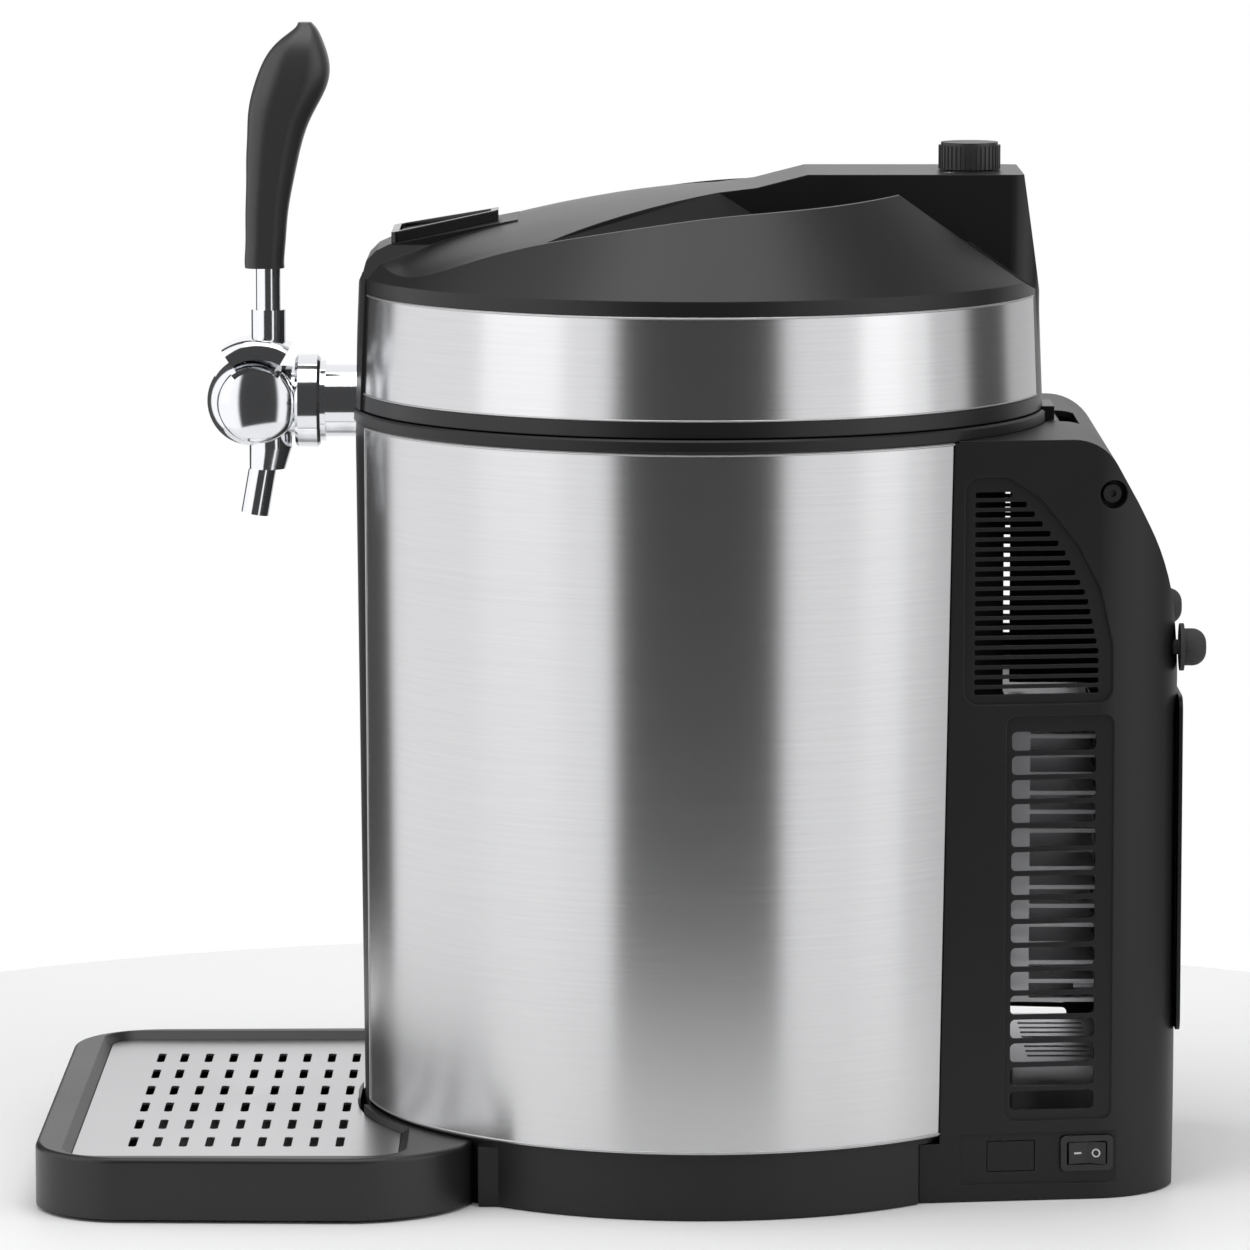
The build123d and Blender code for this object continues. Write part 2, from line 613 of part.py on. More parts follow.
def power_supply():
    """Metal-cased supply on the base plate under the heatsink."""
    floor = BASE_Z + BASE_THICKNESS
    half = SUPPLY_HALF_WIDTH
    y = (REAR_WALL_Y + 4, REAR_WALL_Y + 4 + SUPPLY_DEPTH)
    case = block((-half, half), y, (floor, floor + SUPPLY_HEIGHT))
    case = fillet(case.edges().filter_by(Axis.Z), 2)
    for i in range(9):
        x = (i - 4) * SUPPLY_HALF_WIDTH / 5.2
        case -= block((x - 2, x + 2), (y[0] + 8, y[1] - 8), (floor + SUPPLY_HEIGHT - 1, floor + SUPPLY_HEIGHT + 2))
    return case


# ---------------------------------------------------------------- rear housing
def housing_plan(inset):
    """Plan of the rear housing: sides that close in and large rear corners."""
    reach = math.atan2(HOUSING_FRONT_HALF - HOUSING_REAR_HALF, HOUSING_REAR - HOUSING_FRONT)
    side_inset = inset / math.cos(reach)
    rear = HOUSING_REAR - inset
    rate = math.tan(reach)
    front_half = HOUSING_FRONT_HALF - side_inset
    rear_half = HOUSING_REAR_HALF + rate * inset - side_inset
    outline = Polyline(
        (-front_half, HOUSING_FRONT), (front_half, HOUSING_FRONT), (rear_half, rear), (-rear_half, rear), close=True
    )
    face = make_face(outline)
    corners = face.vertices().group_by(Axis.Y)[-1]
    return fillet(corners, HOUSING_CORNER - inset)


def housing_profile(inset):
    """Side view of the rear housing, as a prism over its full width."""
    top = HOUSING_TOP - inset
    rear = HOUSING_REAR - inset
    beyond = 0 if inset == 0 else 1
    slope = [(rear - y, HOUSING_TOP - z - (0 if z else inset)) for y, z, _ in REAR_SLOPE]
    points = [
        (HOUSING_FRONT - beyond, BASE_Z - beyond), (rear - 0.9, BASE_Z - beyond), (rear, 50),
        *slope, (HOUSING_FRONT - beyond, top),
    ]
    face = make_face(Polyline(*points, close=True))
    for (y, z), (_, _, radius) in zip(slope, REAR_SLOPE):
        corner = face.vertices().sort_by(lambda v: (v.X - y) ** 2 + (v.Y - z) ** 2)[0]
        face = fillet(corner, max(radius - inset, 1.0))
    return extrude(Plane.YZ.offset(-FAR / 2) * face, amount=FAR)


def side_plane():
    """Outer plane of the housing's +X side: local x runs to the rear, local y up."""
    run = Vector(HOUSING_REAR_HALF - HOUSING_FRONT_HALF, HOUSING_REAR - HOUSING_FRONT, 0).normalized()
    return Plane(origin=(HOUSING_FRONT_HALF, HOUSING_FRONT, 0), x_dir=run, z_dir=Vector(run.Y, -run.X, 0))


def along_side(y):
    """Distance along the housing's side at a given Y."""
    slope = math.atan2(HOUSING_FRONT_HALF - HOUSING_REAR_HALF, HOUSING_REAR - HOUSING_FRONT)
    return (y - HOUSING_FRONT) / math.cos(slope)


def side_window(y, z, low, high, corner):
    """Rounded slot through the housing's side, between depths low and high."""
    a, b = along_side(y[0]), along_side(y[1])
    width, height = b - a, z[1] - z[0]
    face = Pos((a + b) / 2, (z[0] + z[1]) / 2) * RectangleRounded(width, height, min(corner, height / 2 - 0.01))
    return extrude(side_plane().offset(low) * face, amount=high - low)


def upper_vent_edge(z):
    """Rearmost Y of the upper vent's sloping outline at a height."""
    points = [p for p in UPPER_VENT if p[0] > HOUSING_FRONT + 25]
    for (y0, z0), (y1, z1) in zip(points, points[1:]):
        if z1 <= z <= z0:
            return y0 + (y1 - y0) * (z0 - z) / (z0 - z1)
    return points[0][0]


def upper_vent():
    """Shallow recess with its slots."""
    points = [(along_side(y), z) for y, z in UPPER_VENT]
    face = fillet(make_face(Polyline(*points, close=True)).vertices(), 6)
    cut = extrude(side_plane().offset(-VENT_RECESS) * face, amount=VENT_RECESS + 1)
    for i in range(UPPER_SLOTS):
        z = UPPER_SLOT_TOP - i * UPPER_SLOT_PITCH
        end = upper_vent_edge(z + UPPER_SLOT_HEIGHT) - 5.5
        cut += side_window((UPPER_VENT[0][0] + 4.1, end), (z - UPPER_SLOT_HEIGHT / 2, z + UPPER_SLOT_HEIGHT / 2), -6, 1, 0.9)
    return cut


def lower_vent():
    """Tall recess with wide slots in front of the heatsink."""
    cut = side_window(LOWER_VENT_Y, LOWER_VENT_Z, -VENT_RECESS, 1, 4)
    for i in range(LOWER_SLOTS):
        z = LOWER_SLOT_TOP - i * LOWER_SLOT_PITCH
        cut += side_window(LOWER_SLOT_Y, (z - LOWER_SLOT_HEIGHT, z), -6, 1, 2)
    return cut


def rear_housing():
    """Rear cover over the cooling parts, with vents in both sides."""
    z = (BASE_Z, HOUSING_TOP)
    outer = housing_profile(0) & plan_prism(housing_plan(0), z)
    inner = housing_profile(HOUSING_WALL) & plan_prism(housing_plan(HOUSING_WALL), (z[0] - 1, z[1]))
    half = HOUSING_FRONT_HALF - 4
    inner += block((-half, half), (HOUSING_FRONT - 5, HOUSING_FRONT + 5), (0, HOUSING_TOP - HOUSING_WALL))
    cup = side_screw(SCREW_RECESS_RADIUS + HOUSING_WALL, -SCREW_RECESS_DEPTH - HOUSING_WALL, -1)
    shell = outer - inner + (both_sides(cup) & outer)
    shell -= both_sides(upper_vent() + lower_vent())
    shell -= side_window(SWITCH_PANEL_Y, SWITCH_PANEL_Z, -1.0, 1, 1.5)
    shell -= side_window(SWITCH_Y, SWITCH_Z, -6, 1, 1.5)
    shell -= side_window(BLANK_Y, BLANK_Z, -6, 1, 0.8)
    shell -= body_taper(-GAP, (PLINTH_TOP - PLINTH_WALL - GAP, BODY_TOP))
    shell -= rod_z(RIM_RADIUS + GAP, (BODY_TOP - GAP, FAR))
    shell -= hinge_space()
    shell -= block(FAN_WINDOW, (HOUSING_REAR - 8, FAR), (COOLER_Z - FAN_WINDOW[1], COOLER_Z + FAN_WINDOW[1]))
    shell -= block(INLET_X, (HOUSING_REAR - 8, FAR), INLET_Z)
    for x in (-BUMPER_X, BUMPER_X):
        shell -= rod_y(3, (HOUSING_REAR - 12, FAR), x, BUMPER_Z)
    web_z = (COOLER_Z + FAN_SIDE / 2 + 1.5, HINGE_Z - 11.6)
    shell += block((-WEB_HALF, WEB_HALF), (REAR_WALL_Y + 6, FAR), web_z) & outer
    return shell - screw_space()


def side_screw(radius, low, high):
    """Cylinder square to the housing's side at the screw's place."""
    face = Pos(along_side(SCREW_Y), SCREW_Z) * Circle(radius)
    return extrude(side_plane().offset(low) * face, amount=high - low)


def screw_space():
    """Counterbores and holes for the two upper side screws."""
    hole = side_screw(SCREW_RADIUS + RUNNING, -SCREW_RECESS_DEPTH - HOUSING_WALL - 1, 0)
    return both_sides(side_screw(SCREW_RECESS_RADIUS, -SCREW_RECESS_DEPTH, 20) + hole)


def housing_screws():
    """Pan-head screws at the bottom of the side counterbores."""
    depth = -SCREW_RECESS_DEPTH
    screw = side_screw(3.6, depth, depth + 2.4) + side_screw(SCREW_RADIUS, depth - 8, depth)
    screw -= side_screw(1.4, depth + 1.2, depth + 3)
    return both_sides(screw)


def rear_grille():
    """Slotted panel over the fan, a little proud of the housing."""
    panel = block((-PANEL_HALF, PANEL_HALF), (HOUSING_REAR, HOUSING_REAR + PANEL_PROUD), PANEL_Z)
    panel = fillet(panel.edges().filter_by(Axis.Y), 6)
    half = FAN_WINDOW[1] - GAP
    frame = block((-half, half), (HOUSING_REAR - 2, HOUSING_REAR), (COOLER_Z - half, COOLER_Z + half))
    grille = panel + frame
    pitch = (FAN_WINDOW[1] - 4) * 2 / PANEL_SLOTS
    for i in range(PANEL_SLOTS):
        z = COOLER_Z - FAN_WINDOW[1] + 4 + pitch * (i + 0.5)
        for x in ((FAN_WINDOW[0] + 5, -2.0), (2.0, FAN_WINDOW[1] - 5)):
            grille -= block(x, (HOUSING_REAR - 5, FAR), (z - pitch * 0.31, z + pitch * 0.31))
    return grille


def wall_bumpers():
    """Two stand-off buttons that keep the machine off the wall."""
    bumpers = []
    for x in (-BUMPER_X, BUMPER_X):
        body = rod_y(BUMPER_RADIUS, (HOUSING_REAR, REAR_REACH), x, BUMPER_Z)
        body = fillet(body.edges().group_by(Axis.Y)[-1], BUMPER_ROUNDING)
        flare = rod_y(BUMPER_RADIUS + 2, (HOUSING_REAR, HOUSING_REAR + 1.6), x, BUMPER_Z)
        peg = rod_y(3 - RUNNING, (HOUSING_REAR - 6, HOUSING_REAR), x, BUMPER_Z)
        bumpers.append(body + flare + peg)
    return bumpers


def switch_bezel():
    """Frame of the power switch, clipped into the housing's side."""
    face = side_window(SWITCH_Y, SWITCH_Z, -1.0, 0.3, 2)
    body = side_window(shrink(SWITCH_Y, GAP), shrink(SWITCH_Z, GAP), -14, -1.0, 1)
    hole = side_window(shrink(SWITCH_Y, SWITCH_FRAME), shrink(SWITCH_Z, SWITCH_FRAME), -12, 5, 0.8)
    return face + body - hole - rocker_pivot(ROCKER_PIVOT_RADIUS + RUNNING, SWITCH_FRAME - 1.0)


def rocker_pivot(radius, margin):
    """Upright cylinder on the rocker's axis, ending inside the switch opening by the margin."""
    y, z = shrink(SWITCH_Y, SWITCH_FRAME), shrink(SWITCH_Z, margin)
    side = side_plane()
    middle = (along_side(y[0]) + along_side(y[1])) / 2
    foot = side.origin + side.x_dir * middle - side.z_dir * ROCKER_PIVOT_DEPTH
    return rod_z(radius, z, foot.X, foot.Y)


def switch_rocker():
    """Rocker with a bent face, tilting about an upright axis."""
    y = shrink(SWITCH_Y, SWITCH_FRAME + ROCKER_END_GAP)
    z = shrink(SWITCH_Z, SWITCH_FRAME + GAP)
    a, b = along_side(y[0]), along_side(y[1])
    middle = (a + b) / 2
    face = make_face(Polyline((a, -5), (a, 0.4), (middle, -0.8), (b, 1.8), (b, -3), (middle, -8), close=True))
    side = side_plane()
    level = Plane(origin=side.origin + Vector(0, 0, z[0]), x_dir=side.x_dir, z_dir=Vector(0, 0, -1))
    return extrude(level * face, amount=z[0] - z[1]) + rocker_pivot(ROCKER_PIVOT_RADIUS, SWITCH_FRAME - 0.8)


def shrink(pair, margin):
    """A (low, high) pair made smaller at both ends."""
    return (pair[0] + margin, pair[1] - margin)


def blank_cover():
    """Plate that closes the unused opening beside the switch."""
    plate = side_window(shrink(BLANK_Y, GAP), shrink(BLANK_Z, GAP), -2.5, -1.2, 0.6)
    a, b = BLANK_Y[0] + 4, BLANK_Y[1] - 6
    for y in (a, b):
        plate += side_window((y, y + 2), (BLANK_Z[0], BLANK_Z[1]), -2.4, -1.8, 0.2)
    return plate


def power_inlet():
    """Recessed inlet with two pins in the lower rear."""
    x, z = shrink(INLET_X, GAP), shrink(INLET_Z, GAP)
    body = block(x, (HOUSING_REAR - 20, HOUSING_REAR), z)
    rim_x, rim_z = shrink(INLET_X, -3), shrink(INLET_Z, -3)
    body += block(rim_x, (HOUSING_REAR, HOUSING_REAR + 1.4), rim_z)
    body -= block(shrink(x, 2.2), (HOUSING_REAR - 17, FAR), shrink(z, 2.2))
    middle = (x[0] + x[1]) / 2
    for offset in (-5, 5):
        body += rod_y(1.2, (HOUSING_REAR - 18, HOUSING_REAR - 5), middle + offset, (z[0] + z[1]) / 2)
    return body


# ---------------------------------------------------------------- hinge of the lid
def hinge_bracket():
    """Bracket on the cabinet's rear wall with two hinge knuckles."""
    half = HINGE_HALF_WIDTH
    shelf_z = HINGE_Z - 10.5
    wall = block((-half, half), (REAR_WALL_Y, REAR_WALL_Y + 3), (shelf_z - 28, shelf_z + 3))
    solid = wall + block((-half, half), (REAR_WALL_Y, HINGE_Y + 5.5), (shelf_z, shelf_z + 3))
    for side in (-1, 1):
        x = tuple(sorted((side * (LEAF_HALF_WIDTH + GAP), side * half)))
        solid += block(x, (HINGE_Y - KNUCKLE_RADIUS, HINGE_Y + KNUCKLE_RADIUS), (shelf_z, HINGE_Z))
        solid += rod_x(KNUCKLE_RADIUS, x, HINGE_Y, HINGE_Z)
    return solid - rod_x(HINGE_PIN_RADIUS, (-half - 1, half + 1), HINGE_Y, HINGE_Z)


def hinge_pin():
    """Steel pin of the lid's hinge."""
    return rod_x(HINGE_PIN_RADIUS, (-HINGE_HALF_WIDTH - 0.5, HINGE_HALF_WIDTH + 0.5), HINGE_Y, HINGE_Z)


def hinge_leaf():
    """Leaf under the lid's rear edge with the middle knuckle."""
    half = LEAF_HALF_WIDTH
    leaf = block((-half, half), (HINGE_Y - 11.5, HINGE_Y + 1), (LID_Z - 3.2, LID_Z))
    leaf += block((-half, half), (HINGE_Y - 3.4, HINGE_Y + 1), (HINGE_Z, LID_Z))
    leaf += rod_x(KNUCKLE_RADIUS, (-half, half), HINGE_Y, HINGE_Z)
    return leaf - rod_x(HINGE_PIN_RADIUS + RUNNING, (-half - 1, half + 1), HINGE_Y, HINGE_Z)


# ---------------------------------------------------------------- lid
def crown_at(y, column):
    """Crown's rise (column 1) or its radius across (column 2) at a given Y."""
    for low, high in zip(CROWN, CROWN[1:]):
        if low[0] <= y <= high[0]:
            return low[column] + (high[column] - low[column]) * (y - low[0]) / (high[0] - low[0])
    return CROWN[-1][column]


def crown_rise(y, x=0.0):
    """Rise of the lid's crown above the shoulder."""
    return crown_at(y, 1) - x ** 2 / (2 * crown_at(y, 2))


def crown_solid(drop):
    """Everything under the lid's crowned top, lowered by the drop."""
    half = CROWN_HALF
    base = LID_Z - 5
    sections = []
    for y, rise, radius in CROWN:
        z = SHOULDER + rise - drop
        edge = z - half ** 2 / (2 * radius)
        arc = ThreePointArc((-half, edge), (0, z), (half, edge))
        lines = Polyline((half, edge), (half, base), (-half, base), (-half, edge))
        sections.append(Plane.XZ.offset(-y) * make_face([arc, lines]))
    return loft(sections)


def fender_solid(inset):
    """Round lid with sides that lean in above the shoulder."""
    radius = LID_RADIUS_TOP - inset
    lean = math.tan(math.radians(FENDER_ANGLE))
    height = FENDER_HEIGHT
    lower = rod_z(radius, (BAND_TOP, SHOULDER - inset * 0.4)) + lid_taper(inset, (LID_Z, BAND_TOP))
    return lower + cone_z(radius, radius - height / lean, (SHOULDER - inset * 0.4, SHOULDER - inset * 0.4 + height))


def rear_fall(drop):
    """Wedge above the face that falls from the lid's peak to its rear edge."""
    slope = math.tan(math.radians(REAR_FALL))
    z = SHOULDER + REAR_PEAK_RISE - drop
    points = [
        (REAR_PEAK_Y - 20, z + 20 * slope), (REAR_PEAK_Y + 80, z - 80 * slope),
        (REAR_PEAK_Y + 80, z + 90), (REAR_PEAK_Y - 20, z + 90),
    ]
    return side_prism(points, (-FAR / 2, FAR / 2))


def ridge_x(y):
    """Half width of the lid's top where its side meets its crown."""
    x = LID_RADIUS_TOP * 0.75
    for _ in range(12):
        radius = LID_RADIUS_TOP - crown_rise(y, x) / math.tan(math.radians(FENDER_ANGLE))
        x = math.sqrt(max(radius ** 2 - y ** 2, 1.0))
    return x


def scoop():
    """Finger recess beside the raised block on the +X side."""
    start = (BLOCK_HALF_WIDTH, BLOCK_FRONT)
    front = (ridge_x(SCOOP_FRONT) - SCOOP_LAND, SCOOP_FRONT)
    stations = [SCOOP_FRONT + (REAR_PEAK_Y - SCOOP_FRONT) * part for part in (0, 0.18, 0.4, 0.58, 0.74, 0.88, 1)]
    rim = [(ridge_x(y) - SCOOP_LAND, y) for y in stations]
    tail = [(BLOCK_HALF_WIDTH + 15, REAR_PEAK_Y + 34), (BLOCK_HALF_WIDTH, REAR_PEAK_Y + 50)]
    edge = Polyline(start, front) + Spline(*rim) + Polyline(rim[-1], *tail, start)
    floor = SHOULDER + SCOOP_FLOOR
    prism = plan_prism(make_face(edge), (floor, floor + 60))
    return prism & above_scoop_face()


def above_scoop_face():
    """Half space over the sloping face at the front of the finger recess."""
    high = Vector(BLOCK_HALF_WIDTH, BLOCK_FRONT, SHOULDER + crown_rise(BLOCK_FRONT) - 0.5)
    x = ridge_x(SCOOP_FRONT) - SCOOP_LAND
    low = Vector(x, SCOOP_FRONT, SHOULDER + crown_rise(SCOOP_FRONT, x))
    along = (low - high).normalized()
    outward = Vector(-along.Y, along.X, 0).normalized()
    fall = outward - Vector(0, 0, math.tan(math.radians(SCOOP_SLOPE)))
    normal = fall.cross(along)
    if normal.Z < 0:
        normal = -normal
    plane = Plane(origin=high, x_dir=along, z_dir=normal)
    return extrude(plane * Rectangle(FAR, FAR), amount=200)


def raised_block():
    """Block on the lid that houses the gas regulator, with the rear spine."""
    top = SHOULDER + BLOCK_TOP
    rear = BLOCK_REAR
    nose = BLOCK_FRONT - 22
    points = [
        (nose, SHOULDER - 20), (nose, SHOULDER + crown_rise(nose) - 1.0),
        (BLOCK_FRONT, SHOULDER + crown_rise(BLOCK_FRONT) - 0.3),
        (BLOCK_FRONT + 15, SHOULDER + crown_rise(BLOCK_FRONT + 15) + 0.4),
        (BLOCK_FRONT + 35, top), (rear - 6.8, top), (rear, BAND_TOP),
        (rear, BAND_BOTTOM + 16), (rear - 2, BAND_BOTTOM + 13), (rear - 2, SHOULDER - 20),
    ]
    return side_prism(points, (-BLOCK_HALF_WIDTH, BLOCK_HALF_WIDTH)) & block_plan(0)


def block_plan(inset):
    """Tall prism on the raised block's plan, with rounded rear corners."""
    half, rear = BLOCK_HALF_WIDTH - inset, BLOCK_REAR - inset
    face = make_face(Polyline((-half, -rear), (half, -rear), (half, rear), (-half, rear), close=True))
    face = fillet(face.vertices().group_by(Axis.Y)[-1], BLOCK_CORNER - inset)
    return plan_prism(face, (0, FAR))


def front_prow():
    """Raised strip up the front of the lid that carries the latch."""
    nose = -LID_RADIUS_TOP
    points = [
        (nose - 1.8, LID_Z), (nose - 1.6, BAND_TOP), (nose - 0.7, SHOULDER - 1.9), (nose + 1.3, SHOULDER + 2.1),
        (nose + 2.6, SHOULDER + 6.8), (nose + 6.5, SHOULDER + 10.8), *prow_points(),
        (prow_points()[1][0], SHOULDER - 20), (-LINER_RECESS_RADIUS - 20, LID_Z),
    ]
    prow = side_prism(points, (-LID_SPINE_HALF, LID_SPINE_HALF))
    prow &= lid_taper(-PROW_PROUD, (LID_Z, SHOULDER + BLOCK_TOP))
    low, high = LID_SPINE_HALF, PROW_TOP_HALF
    front_view = [
        (-low, LID_Z), (low, LID_Z), (low, SHOULDER), (high, SHOULDER + 13), (high, FAR), (-high, FAR),
        (-high, SHOULDER + 13), (-low, SHOULDER),
    ]
    return prow & extrude(Plane.XZ * make_face(Polyline(*front_view, close=True)), amount=FAR)


def lid_cover():
    """Black top moulding of the lid, hollow underneath."""
    body = (fender_solid(0) & crown_solid(0)) - rear_fall(0)
    body += raised_block() + front_prow()
    tall_band = (BAND_BOTTOM, BAND_TOP)
    band = lid_taper(-6, tall_band) - lid_taper(LID_SKIN + 0.05, (BAND_BOTTOM - 1, BAND_TOP + 1))
    body -= band - front_strip(0) - rear_strip(0)
    body -= lid_hollow() + block_hollow() + both_sides(scoop())
    body -= shank_space() + hook_space((LID_Z, FOAM_TOP))
    body += pivot_ears()
    body -= rod_x(LATCH_PIN_RADIUS, (-LID_SPINE_HALF, LID_SPINE_HALF), HOOK_PIVOT_Y, HOOK_PIVOT_Z)
    body -= plan_prism(latch_plan(LATCH_RIM), (SHOULDER, FAR))
    return body - rod_z(SPINDLE_RADIUS + GAP, (SHOULDER, FAR), 0, KNOB_Y)


def front_strip(margin):
    """Prism of the lid's front strip, with a margin on both sides."""
    half = LID_SPINE_HALF + margin
    return block((-half, half), (-FAR, 0), (0, FAR))


def rear_strip(margin):
    """Prism of the lid's rear strip, with a margin on both sides."""
    half = BLOCK_HALF_WIDTH + margin
    return block((-half, half), (0, FAR), (0, FAR))


def lid_hollow():
    """Space under the lid's crown, down to its lower edge."""
    ceiling = SHOULDER + SCOOP_FLOOR - LID_WALL
    upper = (fender_solid(LID_WALL) & crown_solid(LID_WALL + 1)) - rear_fall(LID_WALL + 1)
    upper &= block((-FAR, FAR), (-FAR, FAR), (LID_Z, ceiling))
    return upper + lid_taper(LID_SKIN + LID_WALL, (LID_Z - 1, BAND_TOP))


def block_hollow():
    """Space inside the raised block for the gas parts."""
    top = SHOULDER + BLOCK_TOP - LID_WALL
    front = BLOCK_FRONT - 14
    rear = BLOCK_REAR - LID_WALL - 0.5
    points = [
        (front, SHOULDER - 4), (front, SHOULDER + crown_rise(front) - LID_WALL - 1),
        (BLOCK_FRONT + 15, SHOULDER + crown_rise(BLOCK_FRONT + 15) - LID_WALL), (BLOCK_FRONT + 36, top),
        (rear - 7.2, top), (rear - 1.2, SHOULDER - 4),
    ]
    half = BLOCK_HALF_WIDTH - LID_WALL
    return side_prism(points, (-half, half)) & block_plan(LID_WALL)


def pivot_ears():
    """Two ears under the lid's top that hold the latch's pin."""
    ceiling = SHOULDER + SCOOP_FLOOR - LID_WALL
    ear = block(
        (HOOK_OUTER + GAP, LID_SPINE_HALF), (HOOK_PIVOT_Y - 4, HOOK_PIVOT_Y + 4), (HOOK_PIVOT_Z - 4, ceiling + 0.5)
    )
    return both_sides(ear)


def lid_skin(side):
    """Brushed steel band on one side of the lid; side is 1 or -1."""
    z = (BAND_BOTTOM + 0.1, BAND_TOP - 0.1)
    band = lid_taper(0, z) - lid_taper(LID_SKIN, (z[0] - 1, z[1] + 1))
    half = block((0, FAR), (-FAR, FAR), (0, FAR)) if side > 0 else block((-FAR, 0), (-FAR, FAR), (0, FAR))
    return (band & half) - front_strip(0.2) - rear_strip(0.2)


def liner_outer():
    """Radius of the lid's liner and foam at the lid's wall."""
    return LID_RADIUS_TOP - LID_SKIN - LID_WALL - GAP


def lid_liner():
    """Pale inner pan of the lid, with room for the keg coupler."""
    recess = LINER_RECESS_RADIUS
    pan = rod_z(liner_outer(), (LINER_Z, LINER_Z + LINER_WALL))
    pan += rod_z(recess + LINER_WALL, (LINER_Z, LINER_CEILING + LINER_WALL))
    pan -= rod_z(recess, (LINER_Z - 1, LINER_CEILING))
    pan -= rod_z(PIPE_RADIUS + GAP, (LINER_CEILING - 1, FAR), PIPE_X, PIPE_Y)
    return pan - shank_space() - hook_space((LID_Z, FOAM_TOP))


def lid_foam():
    """Insulation between the liner and the lid's cover."""
    low = LINER_Z + LINER_WALL
    foam = rod_z(liner_outer(), (low, FOAM_TOP))
    foam -= rod_z(LINER_RECESS_RADIUS + LINER_WALL + GAP, (low - 1, LINER_CEILING + LINER_WALL + GAP))
    foam -= rod_z(PIPE_RADIUS + GAP, (LINER_CEILING, FAR), PIPE_X, PIPE_Y)
    return foam - shank_space() - hook_space((LID_Z, FOAM_TOP + 1))


def lid_seal():
    """Rubber ring under the liner that closes on the rim."""
    inner = RIM_INNER + 1.5
    ring = rod_z(inner + SEAL_WIDTH, (RIM_TOP + SEAL_GAP, LINER_Z))
    ring -= rod_z(inner, (RIM_TOP - 1, LINER_Z + 1))
    return ring - shank_space()


# ---------------------------------------------------------------- lid latch
def latch_plan(inset):
    """Plan of the latch's frame, wide at the front and narrow at the rear."""
    front, rear = LATCH_FRONT_Y + inset, LATCH_FRONT_Y + LATCH_LENGTH - inset
    wide, narrow = LATCH_FRONT_HALF - inset, LATCH_REAR_HALF - inset * 0.7
    face = make_face(Polyline((-wide, front), (wide, front), (narrow, rear), (-narrow, rear), close=True))
    return fillet(face.vertices(), 2.0)


def prow_points():
    """Two points of the sloping top of the lid's front strip."""
    return (LATCH_FRONT_Y - 0.7, SHOULDER + 13.2), (LATCH_FRONT_Y + LATCH_LENGTH + 8, SHOULDER + 23.0)


def prow_top(y):
    """Height of the front strip's sloping top at a given Y."""
    (y0, z0), (y1, z1) = prow_points()
    return z0 + (z1 - z0) * (y - y0) / (y1 - y0)


def latch_wedge(lift_front, lift_rear, floor):
    """Prism from a floor below the strip's top up to a sloping rim above it."""
    front, rear = LATCH_FRONT_Y, LATCH_FRONT_Y + LATCH_LENGTH
    points = [
        (front - 1, prow_top(front - 1) - floor), (rear + 1, prow_top(rear + 1) - floor),
        (rear + 1, prow_top(rear + 1) + lift_rear), (front - 1, prow_top(front - 1) + lift_front),
    ]
    return side_prism(points, (-LATCH_FRONT_HALF, LATCH_FRONT_HALF))


def latch_bezel():
    """Raised rim round the latch button."""
    solid = plan_prism(latch_plan(0), (SHOULDER, FAR)) - plan_prism(latch_plan(LATCH_RIM), (SHOULDER, FAR))
    return solid & latch_wedge(4.4, 4.3, 0)


def latch_button():
    """Push button in the lid's front strip, with a foot that works the hook."""
    top = plan_prism(latch_plan(LATCH_RIM + GAP), (SHOULDER, FAR)) & latch_wedge(2.8, 2.5, 3.0)
    core = plan_prism(latch_plan(LATCH_RIM + 2.5), (HOOK_ARM_TOP + 3.5, SHOULDER + 14))
    foot_y = HOOK_PIVOT_Y - LATCH_ARM
    foot = block((-6, 6), (foot_y - 1.5, foot_y + 1.5), (HOOK_ARM_TOP + GAP, SHOULDER + 8))
    return top + core + foot


def latch_hook():
    """Rocking catch: a lever under the button and two arms down to the rim."""
    y, z = HOOK_PIVOT_Y, HOOK_PIVOT_Z
    bar = rod_x(4.0, (-HOOK_OUTER, HOOK_OUTER), y, z)
    tip = y - LATCH_ARM - 3
    lever = [(y, z - 4), (y, HOOK_ARM_TOP), (tip, HOOK_ARM_TOP), (tip, HOOK_ARM_TOP - 3), (y - 4, z - 4)]
    hook = bar + side_prism(lever, (-7, 7))
    arm = [
        (y, z - 4), (y, z + 3), (y - 8, z + 3), (HOOK_Y, z - 9), (HOOK_Y, HOOK_FOOT),
        (HOOK_Y + HOOK_DEPTH, HOOK_FOOT), (HOOK_Y + HOOK_DEPTH, z - 13), (y - 11, z - 5),
    ]
    hook += both_sides(side_prism(arm, (HOOK_INNER, HOOK_OUTER)))
    return hook - rod_x(LATCH_PIN_RADIUS + RUNNING, (-FAR / 2, FAR / 2), y, z)


def latch_pin():
    """Pin on which the latch's hook rocks."""
    return rod_x(LATCH_PIN_RADIUS, (-LID_SPINE_HALF, LID_SPINE_HALF), HOOK_PIVOT_Y, HOOK_PIVOT_Z)


# ---------------------------------------------------------------- gas parts in the lid
def regulator_body():
    """Brass pressure regulator with the cartridge's seat in front."""
    base = SHOULDER + 3
    body = rod_z(REGULATOR_RADIUS, (base, base + 32), 0, KNOB_Y)
    body += rod_y(8.5, (KNOB_Y - REGULATOR_RADIUS - 5, KNOB_Y), 0, CARTRIDGE_Z)
    body -= rod_y(4.8, (KNOB_Y - REGULATOR_RADIUS - 6, KNOB_Y - REGULATOR_RADIUS + 1), 0, CARTRIDGE_Z)
    return body - rod_z(SPINDLE_RADIUS + RUNNING, (base + 22, FAR), 0, KNOB_Y)


